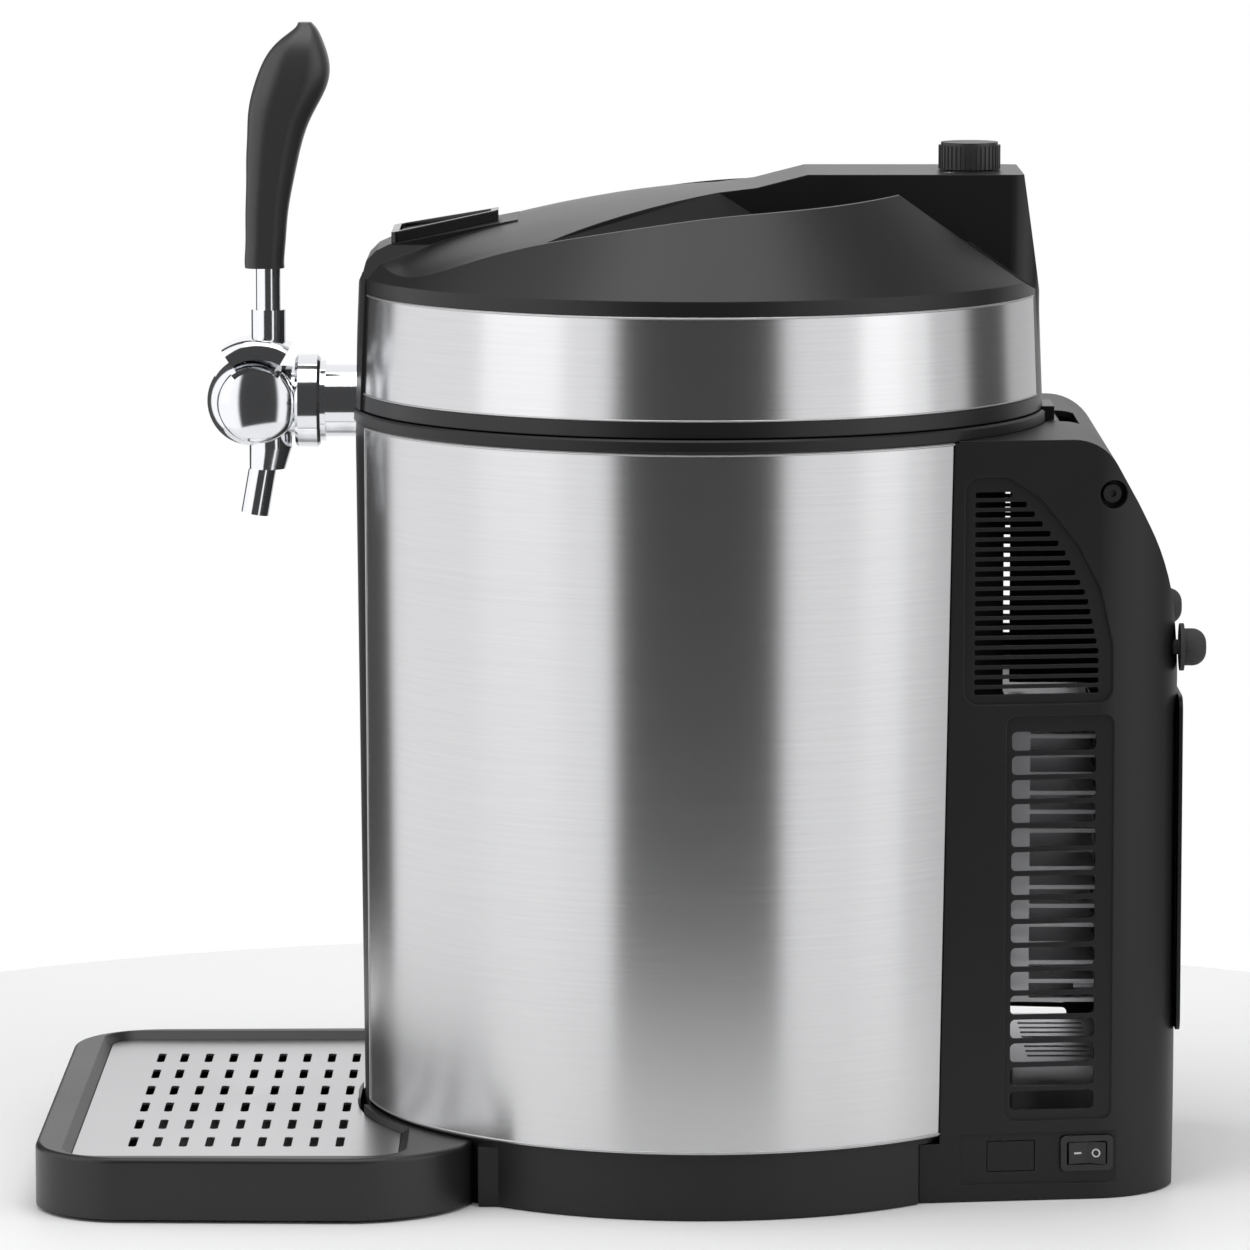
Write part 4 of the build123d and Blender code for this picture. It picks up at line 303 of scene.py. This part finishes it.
@dataclass(frozen=True)
class BrushedSteel(Finish):
    """Steel sheet with fine level scratches that draw its highlights out upright."""

    tone: Colour = (0.62, 0.62, 0.625)
    darker: Colour = (0.57, 0.57, 0.575)
    roughness: float = 0.24
    along: tuple[float, float, float] = (1, 1, 160)
    lines: float = 22.0
    pull: float = 0.7
    turn: float = 0.25
    fine_share: float = 0.7
    gloss_change: float = 0.06
    scratch_depth: float = 0.000003
    edge_radius: float = 0.0003

    def paint(self, graph: Graph) -> None:
        """Long hair-thin streaks in tone, gloss and bump."""
        rounded = graph.rounded(self.edge_radius)
        fine = graph.noise(self.lines * 1.6, 3, self.along)
        broad = graph.noise(self.lines * 0.25, 2, self.along)
        streak = fine * self.fine_share + broad * (1 - self.fine_share)
        colour = graph.mix(streak.ramp(0.3, 0.7), self.darker, self.tone)
        gloss = self.roughness - self.gloss_change / 2 + streak * self.gloss_change
        normal = graph.bump(streak, self.scratch_depth, rounded)
        graph.finish(
            {"Metallic": 1.0, "Anisotropic": self.pull, "Anisotropic Rotation": self.turn},
            {"Base Color": colour, "Roughness": gloss, "Normal": normal},
        )


@dataclass(frozen=True)
class Polish(Finish):
    """Plated or polished metal with faint smears."""

    tone: Colour = (0.8, 0.81, 0.82)
    roughness: float = 0.035
    smear: float = 0.06
    edge_radius: float = 0.0005

    def paint(self, graph: Graph) -> None:
        """Smears in the gloss and a trace of orange peel."""
        rounded = graph.rounded(self.edge_radius)
        smear = graph.noise(60, 4, (1, 1, 0.6)).ramp(0.45, 0.8)
        tone = graph.mix(smear * 0.3, self.tone, tuple(part * 0.93 for part in self.tone))
        peel = graph.noise(240, 2)
        graph.finish(
            {"Metallic": 1.0},
            {
                "Base Color": tone,
                "Roughness": self.roughness + smear * self.smear,
                "Normal": graph.bump(peel, 0.000004, rounded),
            },
        )


@dataclass(frozen=True)
class DullMetal(Finish):
    """Bare cut, drawn or cast metal."""

    tone: Colour = (0.68, 0.69, 0.7)
    roughness: float = 0.36
    along: tuple[float, float, float] = (8, 1, 60)

    def paint(self, graph: Graph) -> None:
        """Drawing lines, handling marks and a dull film."""
        rounded = graph.rounded(0.0002)
        lines = graph.noise(30, 3, self.along)
        marks = graph.noise(90, 4).ramp(0.5, 0.85)
        colour = graph.mix(marks * 0.5, self.tone, tuple(part * 0.72 for part in self.tone))
        gloss = self.roughness + lines * 0.1 + marks * 0.12
        graph.finish(
            {"Metallic": 0.95},
            {"Base Color": colour, "Roughness": gloss, "Normal": graph.bump(lines, 0.00002, rounded)},
        )


@dataclass(frozen=True)
class SoftRubber(Finish):
    """Dull rubber with a fine powdery bloom."""

    tint: Colour = (0.02, 0.02, 0.02)
    roughness: float = 0.72

    def paint(self, graph: Graph) -> None:
        """Bloom in the tint over a pitted surface."""
        bloom = graph.noise(160, 4).ramp(0.45, 0.8)
        lighter = tuple(part + 0.03 for part in self.tint)
        colour = graph.mix(bloom, self.tint, lighter)
        pits = graph.noise(1400, 2)
        graph.finish(
            {},
            {
                "Base Color": colour,
                "Roughness": self.roughness + bloom * 0.1,
                "Normal": graph.bump(pits, 0.00004, graph.rounded(0.0004)),
            },
        )


@dataclass(frozen=True)
class FoamCore(Finish):
    """Poured insulation with cells and drips."""

    tint: Colour = (0.86, 0.78, 0.52)
    cells: float = 700.0

    def paint(self, graph: Graph) -> None:
        """Cells in the bump, darker skin in patches."""
        skin = graph.noise(30, 5)
        sockets = {"Vector": graph.stretched((self.cells,) * 3), "Scale": 1.0}
        cells = graph.add("ShaderNodeTexVoronoi", "Distance", {}, sockets)
        colour = graph.mix(skin.ramp(0.35, 0.7), self.tint, tuple(part * 0.75 for part in self.tint))
        graph.finish(
            {},
            {"Base Color": colour, "Roughness": 0.8 + skin * 0.15, "Normal": graph.bump(cells, 0.0003)},
        )


class Finishes:
    """Every finish on the machine."""

    CASING = MouldedPlastic("casing_plastic", roughness=0.36)
    LID = MouldedPlastic("lid_plastic", roughness=0.33, specular=0.36)
    HOUSING = MouldedPlastic("housing_plastic", tint=(0.008, 0.008, 0.0085), roughness=0.4)
    TRAY = MouldedPlastic("tray_plastic", tint=(0.011, 0.011, 0.0115), roughness=0.34, specular=0.45)
    HANDLE = MouldedPlastic("handle_plastic", tint=(0.008, 0.008, 0.0085), roughness=0.34, edge_radius=0.001)
    KNOB = MouldedPlastic("knob_plastic", tint=(0.008, 0.008, 0.0085), roughness=0.36, edge_radius=0.0003)
    GLOSS = MouldedPlastic(
        "gloss_plastic", tint=(0.006, 0.006, 0.0065), roughness=0.14, depth=0.000003, specular=0.5
    )
    FAN = MouldedPlastic("fan_plastic", tint=(0.015, 0.015, 0.016), roughness=0.45)
    PALE = MouldedPlastic(
        "pale_plastic", tint=(0.62, 0.62, 0.6), roughness=0.38, edge_tint=(0.8, 0.8, 0.78), depth=0.00001,
        specular=0.5,
    )
    SKIN = BrushedSteel("brushed_steel_skin")
    GRID = BrushedSteel(
        "brushed_steel_grid", along=(160, 1, 1), roughness=0.3, tone=(0.6, 0.6, 0.605),
        darker=(0.53, 0.53, 0.535), turn=0.0, pull=0.4,
    )
    CHROME = Polish("tap_chrome", tone=(0.72, 0.73, 0.745))
    STEEL = DullMetal("screw_steel", tone=(0.6, 0.6, 0.61), roughness=0.3, along=(1, 1, 20))
    DARK_STEEL = DullMetal("dark_screw_steel", tone=(0.06, 0.06, 0.062), roughness=0.34, along=(4, 4, 4))
    ALUMINIUM = DullMetal("fin_aluminium", tone=(0.42, 0.425, 0.435))
    CUP = DullMetal("well_aluminium", tone=(0.74, 0.75, 0.76), roughness=0.32, along=(1, 1, 50))
    BRASS = DullMetal("regulator_brass", tone=(0.72, 0.55, 0.28), roughness=0.28, along=(1, 1, 30))
    PLATE = MouldedPlastic("ceramic_plate", tint=(0.8, 0.8, 0.77), roughness=0.55, edge_tint=(0.9, 0.9, 0.88))
    RUBBER = SoftRubber("black_rubber")
    FOAM = FoamCore("insulation_foam")
    HEM = DullMetal("hem_steel", tone=(0.5, 0.5, 0.505), roughness=0.3, along=(1, 1, 1))
    MARK = MouldedPlastic(
        "printed_mark", tint=(0.6, 0.6, 0.6), roughness=0.5, edge_tint=(0.7, 0.7, 0.7), depth=0.000002
    )


# ------------------------------------------------------------------ mesh helpers
SMOOTH_ANGLE = 35.0
WELD_DISTANCE = 1e-7
SIDES = (-1, 1)


def side_name(side: int) -> str:
    """Word for a side: 1 is +X and -1 is -X."""
    return "right" if side > 0 else "left"


def about_keg(x: float, y: float, z: float) -> Point:
    """Point of the frame from millimetres about the keg's axis."""
    return (x / 1000, y / 1000 + KEG_Y, z / 1000)


def around(radius: float, turn: float, z: float, side: int) -> Point:
    """Point on a round wall.

    Args:
        radius: millimetres from the keg's axis.
        turn: degrees from the front.
        z: height in millimetres.
        side: 1 for +X and -1 for -X.

    Returns:
        The point in the frame.
    """
    angle = math.radians(turn)
    return about_keg(side * radius * math.sin(angle), -radius * math.cos(angle), z)


def arc_ends(radius: float, front_half: float, rear_y: float) -> tuple[float, float]:
    """Degrees from the front at which a wrap of a radius starts and stops."""
    return math.degrees(math.asin(front_half / radius)), 180 - math.degrees(math.acos(rear_y / radius))


def arc(radius: float, z: float, turns: tuple[float, float], side: int, steps: int = 48) -> list[Point]:
    """Points along a level arc on a round wall."""
    low, high = turns
    return [around(radius, low + (high - low) * i / steps, z, side) for i in range(steps + 1)]


def box_outline(width: float, height: float) -> list[tuple[float, float]]:
    """Corners of a rectangle about the local origin."""
    x, y = width / 2, height / 2
    return [(-x, -y), (x, -y), (x, y), (-x, y)]


class Piece:
    """A mesh in the making that ends as one named object on one body."""

    def __init__(self, name: str) -> None:
        """Start an empty mesh under a name."""
        self.name = name
        self.mesh = bmesh.new()

    def prism(self, outline: Sequence[Sequence[float]], low: float, high: float, place: Matrix) -> None:
        """Extrude a flat outline.

        Args:
            outline: points in the local XY plane, counter-clockwise.
            low: local Z of the underside.
            high: local Z of the top.
            place: local frame.
        """
        rings = []
        for level in (low, high):
            rings.append([self.mesh.verts.new(place @ Vector((p[0], p[1], level))) for p in outline])
        count = len(outline)
        for i in range(count):
            j = (i + 1) % count
            self.mesh.faces.new((rings[0][i], rings[0][j], rings[1][j], rings[1][i]))
        self.mesh.faces.new(rings[1])
        self.mesh.faces.new(list(reversed(rings[0])))

    def lathe(
        self, profile: Sequence[Sequence[float]], place: Matrix, steps: int = 96, closed: bool = False
    ) -> None:
        """Turn a profile of (radius, height) points about the local Z axis.

        Args:
            profile: points from one end to the other.
            place: local frame.
            steps: flats round the axis.
            closed: whether the profile is a loop, as for a ring.
        """
        rings = []
        for radius, height in profile:
            ring = []
            for i in range(steps):
                turn = 2 * math.pi * i / steps
                point = Vector((radius * math.cos(turn), radius * math.sin(turn), height))
                ring.append(self.mesh.verts.new(place @ point))
            rings.append(ring)
        pairs = list(zip(rings, rings[1:]))
        if closed:
            pairs.append((rings[-1], rings[0]))
        for low, high in pairs:
            for i in range(steps):
                j = (i + 1) % steps
                self.mesh.faces.new((low[i], low[j], high[j], high[i]))
        if not closed:
            self.mesh.faces.new(list(reversed(rings[0])))
            self.mesh.faces.new(rings[-1])

    def tube(self, path: Sequence[Sequence[float]], radius: float, steps: int = 12) -> None:
        """Round bar along a path.

        Args:
            path: points in the frame.
            radius: half thickness of the bar.
            steps: flats round the bar.
        """
        points = [Vector(p) for p in path]
        rings = []
        side = (points[1] - points[0]).orthogonal().normalized()
        for before, point, after in zip(points[:1] + points, points, points[1:] + points[-1:]):
            along = (after - before).normalized()
            side = (side - along * side.dot(along)).normalized()
            other = along.cross(side)
            ring = []
            for i in range(steps):
                turn = 2 * math.pi * i / steps
                offset = side * (radius * math.cos(turn)) + other * (radius * math.sin(turn))
                ring.append(self.mesh.verts.new(point + offset))
            rings.append(ring)
        for low, high in zip(rings, rings[1:]):
            for i in range(steps):
                j = (i + 1) % steps
                self.mesh.faces.new((low[i], low[j], high[j], high[i]))
        self.mesh.faces.new(list(reversed(rings[0])))
        self.mesh.faces.new(rings[-1])

    def make(self, body: Body, finish: Finish) -> None:
        """Turn the mesh into an object that rides on a body.

        Args:
            body: the body that carries it.
            finish: its surface.
        """
        bmesh.ops.remove_doubles(self.mesh, verts=self.mesh.verts, dist=WELD_DISTANCE)
        bmesh.ops.recalc_face_normals(self.mesh, faces=self.mesh.faces)
        smooth_by_angle(self.mesh, SMOOTH_ANGLE)
        data = bpy.data.meshes.new(self.name)
        self.mesh.to_mesh(data)
        self.mesh.free()
        made = bpy.data.objects.new(self.name, data)
        bpy.context.collection.objects.link(made)
        data.materials.append(finish.material())
        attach(made, body.value)
        LOG.info("piece %s rides on %s", self.name, body.value)


def smooth_by_angle(mesh: bmesh.types.BMesh, degrees: float) -> None:
    """Shade faces smooth and keep edges sharper than the angle."""
    mesh.normal_update()
    limit = math.radians(degrees)
    for face in mesh.faces:
        face.smooth = True
    for edge in mesh.edges:
        edge.smooth = len(edge.link_faces) == 2 and edge.calc_face_angle(0.0) < limit


def dress(frame: dict[str, Any], finish: Finish, *nodes: str) -> None:
    """Give CAD nodes a finish.

    Args:
        finish: the surface they take.
        nodes: their names.
    """
    for name in nodes:
        made = frame["nodes"][name]
        made.data.materials.clear()
        made.data.materials.append(finish.material())
        LOG.info("node %s has finish %s", name, finish.name)


# ------------------------------------------------------------------ sub-assemblies
@dataclass
class Cabinet:
    """Round cabinet with its base, well and cooling parts.

    Pairs hold the lower and the upper edge of a steel wrap, in millimetres about the keg's axis.
    """

    frame: dict[str, Any]
    radii: tuple[float, float] = (134.3, 137.0)
    heights: tuple[float, float] = (27.5, 297.7)
    front_halves: tuple[float, float] = (27.6, 36.6)
    rear_y: float = 102.6
    hem_radius: float = 0.00045

    def build(self) -> None:
        """Dress the cabinet."""
        dress(self.frame, Finishes.SKIN, "side_skin_right", "side_skin_left")
        dress(self.frame, Finishes.CASING, "cabinet_shell", "front_spine", "top_ring")
        dress(self.frame, Finishes.CASING, "base_plinth", "base_plate")
        dress(self.frame, Finishes.CUP, "well_liner", "cold_block")
        dress(self.frame, Finishes.ALUMINIUM, "heatsink", "power_supply")
        dress(self.frame, Finishes.PLATE, "peltier_module")
        dress(self.frame, Finishes.FOAM, "well_foam")
        dress(self.frame, Finishes.RUBBER, "feet")
        dress(self.frame, Finishes.FAN, "fan_frame", "fan_rotor")
        dress(self.frame, Finishes.STEEL, "fan_screws")
        for side in SIDES:
            self._hems(side)

    def _hems(self, side: int) -> None:
        """Folded hems along the four edges of one steel wrap; side is 1 or -1."""
        edges = zip(self.radii, self.front_halves)
        low, high = (arc_ends(radius, half, self.rear_y) for radius, half in edges)
        level = zip(("lower", "upper"), self.radii, self.heights, (low, high))
        paths = {label: arc(radius, z, ends, side) for label, radius, z, ends in level}
        for label, turns in zip(("front", "rear"), zip(low, high)):
            feet = zip(self.radii, turns, self.heights)
            paths[label] = [around(radius, turn, z, side) for radius, turn, z in feet]
        for label, path in paths.items():
            hem = Piece(f"skin_hem_{label}_{side_name(side)}")
            hem.tube(path, self.hem_radius)
            hem.make(Body.CABINET, Finishes.HEM)


@dataclass
class RearHousing:
    """Rear cover with its vents, switch, inlet and bumpers.

    Its side runs back and inwards from side_x, side_y, in millimetres about the keg's axis.
    """

    frame: dict[str, Any]
    side_x: float = 98.5
    side_y: float = 85.0
    closing: float = math.atan2(13.5, 102.2)
    rocker_z: float = 18.4
    bar_size: tuple[float, float] = (0.0030, 0.0007)
    ring_radii: tuple[float, float] = (0.00115, 0.0017)
    mark_thickness: float = 0.00006

    def build(self) -> None:
        """Dress the housing."""
        dress(self.frame, Finishes.HOUSING, "rear_housing", "rear_grille", "blank_cover", "hinge_bracket")
        dress(self.frame, Finishes.DARK_STEEL, "housing_screws")
        dress(self.frame, Finishes.STEEL, "hinge_pin")
        dress(self.frame, Finishes.RUBBER, "wall_bumpers")
        dress(self.frame, Finishes.GLOSS, "switch_bezel", "switch_rocker", "power_inlet")
        self._rocker_marks()

    def _side_place(self, along: float, depth: float, tilt: float) -> Matrix:
        """Local frame on the +X side at the height of the rocker.

        Args:
            along: millimetres from the side's front edge.
            depth: millimetres out of the side.
            tilt: degrees about the upright, positive turns the rear end outwards.

        Returns:
            Frame with local X to the rear, local Y up and local Z outwards.
        """
        run = Vector((-math.sin(self.closing), math.cos(self.closing), 0.0))
        out = Vector((math.cos(self.closing), math.sin(self.closing), 0.0))
        foot = Vector(about_keg(self.side_x, self.side_y, self.rocker_z))
        lean = math.radians(tilt)
        local_x = run * math.cos(lean) + out * math.sin(lean)
        local_z = out * math.cos(lean) - run * math.sin(lean)
        place = Matrix((local_x, (0.0, 0.0, 1.0), local_z)).transposed().to_4x4()
        place.translation = foot + run * (along / 1000) + out * (depth / 1000)
        return place

    def _rocker_marks(self) -> None:
        """Bar and ring printed on the two halves of the rocker."""
        bar = Piece("rocker_mark_bar")
        bar_place = self._side_place(along=62.9, depth=-0.17, tilt=-9.5)
        bar.prism(box_outline(*self.bar_size), 0.0, self.mark_thickness, bar_place)
        bar.make(Body.SWITCH, Finishes.MARK)
        ring = Piece("rocker_mark_ring")
        inner, outer = self.ring_radii
        top = self.mark_thickness
        profile = [(outer, 0.0), (outer, top), (inner, top), (inner, 0.0)]
        ring_place = self._side_place(along=70.05, depth=0.53, tilt=20.0)
        ring.lathe(profile, ring_place, steps=48, closed=True)
        ring.make(Body.SWITCH, Finishes.MARK)


@dataclass
class Lid:
    """Hinged lid with its latch and gas parts.

    Places and the steel bands' edges are in millimetres about the keg's axis.
    """

    frame: dict[str, Any]
    knob_mark_x: float = 19.0
    knob_mark_y: float = 98.0
    block_top: float = 397.2
    stroke: tuple[float, float] = (0.0040, 0.0007)
    mark_thickness: float = 0.00005
    band_radii: tuple[float, float] = (135.9, 134.5)
    band_heights: tuple[float, float] = (310.7, 349.6)
    band_front_half: float = 29.6
    band_rear_half: float = 31.6
    hem_radius: float = 0.0004

    def build(self) -> None:
        """Dress the lid."""
        dress(self.frame, Finishes.LID, "lid_cover", "hinge_leaf", "latch_button", "latch_hook")
        dress(self.frame, Finishes.SKIN, "lid_skin_right", "lid_skin_left")
        dress(self.frame, Finishes.GLOSS, "latch_bezel")
        dress(self.frame, Finishes.PALE, "lid_liner", "cartridge_holder", "keg_coupler")
        dress(self.frame, Finishes.FOAM, "lid_foam")
        dress(self.frame, Finishes.RUBBER, "lid_seal")
        dress(self.frame, Finishes.BRASS, "regulator_body")
        dress(self.frame, Finishes.STEEL, "latch_pin", "regulator_spindle", "co2_cartridge", "gas_pipe")
        dress(self.frame, Finishes.STEEL, "beer_line")
        dress(self.frame, Finishes.KNOB, "regulator_knob")
        self._knob_marks()
        for side in SIDES:
            self._band_hems(side)

    def _knob_marks(self) -> None:
        """Plus and minus on the block's top, before the knob."""
        across, along = box_outline(*self.stroke), box_outline(*reversed(self.stroke))
        marks = (("plus", self.knob_mark_x, (across, along)), ("minus", -self.knob_mark_x, (across,)))
        for name, x, strokes in marks:
            mark = Piece(f"knob_mark_{name}")
            place = Matrix.Translation(about_keg(x, self.knob_mark_y, self.block_top))
            for stroke in strokes:
                mark.prism(stroke, 0.0, self.mark_thickness, place)
            mark.make(Body.LID, Finishes.MARK)

    def _band_hems(self, side: int) -> None:
        """Folded hems along the upper and lower edge of one lid band; side is 1 or -1."""
        for label, radius, z in zip(("lower", "upper"), self.band_radii, self.band_heights):
            rear_y = math.sqrt(radius ** 2 - self.band_rear_half ** 2)
            hem = Piece(f"band_hem_{label}_{side_name(side)}")
            hem.tube(arc(radius, z, arc_ends(radius, self.band_front_half, rear_y), side), self.hem_radius)
            hem.make(Body.LID, Finishes.HEM)


@dataclass
class Tap:
    """Lever tap at the front, with its pivot at pivot_y, pivot_z in millimetres about the keg's axis."""

    frame: dict[str, Any]
    pivot_y: float = -175.5
    pivot_z: float = 305.1
    cap_corner: float = 0.0044
    cap_flat_radius: float = 0.0115
    cap_corner_x: float = 0.0129
    dome_lean: float = math.radians(24)
    dome_rings: int = 24
    dome_foot: float = 0.0004
    dome_tip: float = 0.1

    def build(self) -> None:
        """Dress the tap."""
        dress(self.frame, Finishes.CHROME, "tap_body", "pivot_pin", "pivot_caps", "lever_yoke", "lever_stem")
        dress(self.frame, Finishes.CHROME, "tap_spout", "tap_collar")
        dress(self.frame, Finishes.CHROME, "shank_washer", "tap_shank", "shank_nut")
        dress(self.frame, Finishes.HANDLE, "tap_handle")
        for side in SIDES:
            self._cap_dome(side)

    def _cap_dome(self, side: int) -> None:
        """Polished dome on one side cap, which leaves the cap's rounded corner without a crease.

        Args:
            side: 1 for +X and -1 for -X.
        """
        edge = self.cap_flat_radius + self.cap_corner * math.sin(self.dome_lean)
        edge_x = self.cap_corner_x + self.cap_corner * math.cos(self.dome_lean)
        bow = edge / math.sin(self.dome_lean)
        drop = bow * math.cos(self.dome_lean)
        # The last ring stops a little short of the axis, so that it closes with one small face
        count = self.dome_rings
        turns = [self.dome_lean * (1 - i / (count + self.dome_tip)) for i in range(count + 1)]
        profile = [(bow * math.sin(turn), bow * math.cos(turn) - drop) for turn in turns]
        centre = Matrix.Translation(about_keg(side * edge_x * 1000, self.pivot_y, self.pivot_z))
        dome = Piece(f"cap_dome_{side_name(side)}")
        dome.lathe([(edge, -self.dome_foot)] + profile, centre @ Matrix.Rotation(side * math.pi / 2, 4, "Y"))
        dome.make(Body.CABINET, Finishes.CHROME)


@dataclass
class DripTray:
    """Drip tray with its plate."""

    frame: dict[str, Any]

    def build(self) -> None:
        """Dress the tray."""
        dress(self.frame, Finishes.TRAY, "drip_tray")
        dress(self.frame, Finishes.RUBBER, "tray_feet")
        dress(self.frame, Finishes.GRID, "drip_grid")


# ------------------------------------------------------------------ studio
@dataclass
class Studio:
    """Camera, pale floor, soft light and surroundings in light and dark upright bands.

    The surroundings hold (degrees from +X towards +Y, brightness) pairs.
    """

    eye: Point = (2.8659, -0.02864 + KEG_Y, 0.5925)
    pitch: float = -0.131
    yaw: float = -0.0004
    lens: float = 208.13
    sensor_width: float = 36.0
    far: float = 60.0
    floor_radius: float = 0.5
    floor_tint: Colour = (0.9, 0.9, 0.9)
    floor_roughness: float = 0.6
    surroundings: tuple[tuple[float, float], ...] = (
        (-170, 1.0), (-166, 0.08), (-130, 0.08), (-126, 1.15), (-31, 1.15), (-27, 0.06), (25, 0.06),
        (29, 1.08), (70, 1.08), (74, 0.8), (99, 0.8), (103, 0.1), (123, 0.1), (127, 0.65), (166, 0.65),
        (170, 1.0),
    )
    lights: list[tuple[str, Point, Point, tuple[float, float], float]] = field(
        default_factory=lambda: [
            ("key_left", (1.2, -2.2, 1.3), (0, 0, 0.2), (1.6, 2.4), 8),
            ("key_right", (1.0, 2.4, 1.2), (0, 0, 0.2), (1.4, 2.4), 8),
            ("top_soft", (0.4, 0.0, 2.4), (0, 0, 0.1), (1.6, 2.2), 24),
        ]
    )

    def build(self) -> None:
        """Make the whole studio."""
        self._camera()
        self._floor()
        self._world()
        for light in self.lights:
            self._light(*light)
        bpy.context.scene.view_settings.view_transform = "Standard"

    def _camera(self) -> None:
        """Long lens before the machine's +X side."""
        data = bpy.data.cameras.new("camera")
        data.lens = self.lens
        data.sensor_width = self.sensor_width
        data.sensor_fit = "HORIZONTAL"
        data.clip_end = self.far
        camera = bpy.data.objects.new("camera", data)
        bpy.context.collection.objects.link(camera)
        ahead = Vector((-math.cos(self.pitch), math.sin(self.yaw), math.sin(self.pitch)))
        camera.location = self.eye
        camera.rotation_euler = ahead.to_track_quat("-Z", "Y").to_euler()
        bpy.context.scene.camera = camera

    def _floor(self) -> None:
        """Round pale table top under the machine."""
        mesh = bmesh.new()
        bmesh.ops.create_circle(mesh, cap_ends=True, radius=self.floor_radius, segments=128)
        data = bpy.data.meshes.new("floor")
        mesh.to_mesh(data)
        mesh.free()
        floor = bpy.data.objects.new("floor", data)
        bpy.context.collection.objects.link(floor)
        material = bpy.data.materials.new("pale_floor")
        material.use_nodes = True
        graph = Graph(material.node_tree)
        graph.finish({"Base Color": (*self.floor_tint, 1.0), "Roughness": self.floor_roughness}, {})
        data.materials.append(material)

    def _world(self) -> None:
        """Surroundings whose brightness changes with the direction round the upright."""
        world = bpy.data.worlds.new("studio")
        bpy.context.scene.world = world
        world.use_nodes = True
        graph = Graph(world.node_tree)
        toward = graph.add("ShaderNodeTexCoord", "Generated", {}, {})
        split = graph.make("ShaderNodeSeparateXYZ", {}, {0: toward})
        x, y = Signal(graph, split.outputs[0]), Signal(graph, split.outputs[1])
        side = graph.add("ShaderNodeMath", "Value", {"operation": "ARCTAN2"}, {0: y, 1: x})
        stops = [(0.5 + turn / 360, (level, level, level * 1.01)) for turn, level in self.surroundings]
        share = side * (0.5 / math.pi) + 0.5
        colour = graph.add("ShaderNodeValToRGB", "Color", {"stops": stops}, {"Fac": share})
        shader = graph.make("ShaderNodeBackground", {}, {"Color": colour, "Strength": 1.0})
        output = world.node_tree.nodes.new("ShaderNodeOutputWorld")
        world.node_tree.links.new(shader.outputs["Background"], output.inputs["Surface"])

    @staticmethod
    def _light(name: str, place: Point, aim: Point, size: tuple[float, float], power: float) -> None:
        """One soft box.

        Args:
            name: its name.
            place: where it hangs.
            aim: the point it looks at.
            size: its width and height.
            power: its watts.
        """
        data = bpy.data.lights.new(name, "AREA")
        data.shape = "RECTANGLE"
        data.size, data.size_y = size
        data.energy = power
        light = bpy.data.objects.new(name, data)
        bpy.context.collection.objects.link(light)
        light.location = place
        light.rotation_euler = (Vector(aim) - Vector(place)).to_track_quat("-Z", "Y").to_euler()


def main() -> None:
    """Load the frame, dress it, add the fine pieces and set up the studio."""
    logging.basicConfig(level=logging.INFO)
    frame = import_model()
    Studio().build()
    for part in (Cabinet, RearHousing, Lid, Tap, DripTray):
        part(frame).build()


if __name__ == "__main__":
    main()
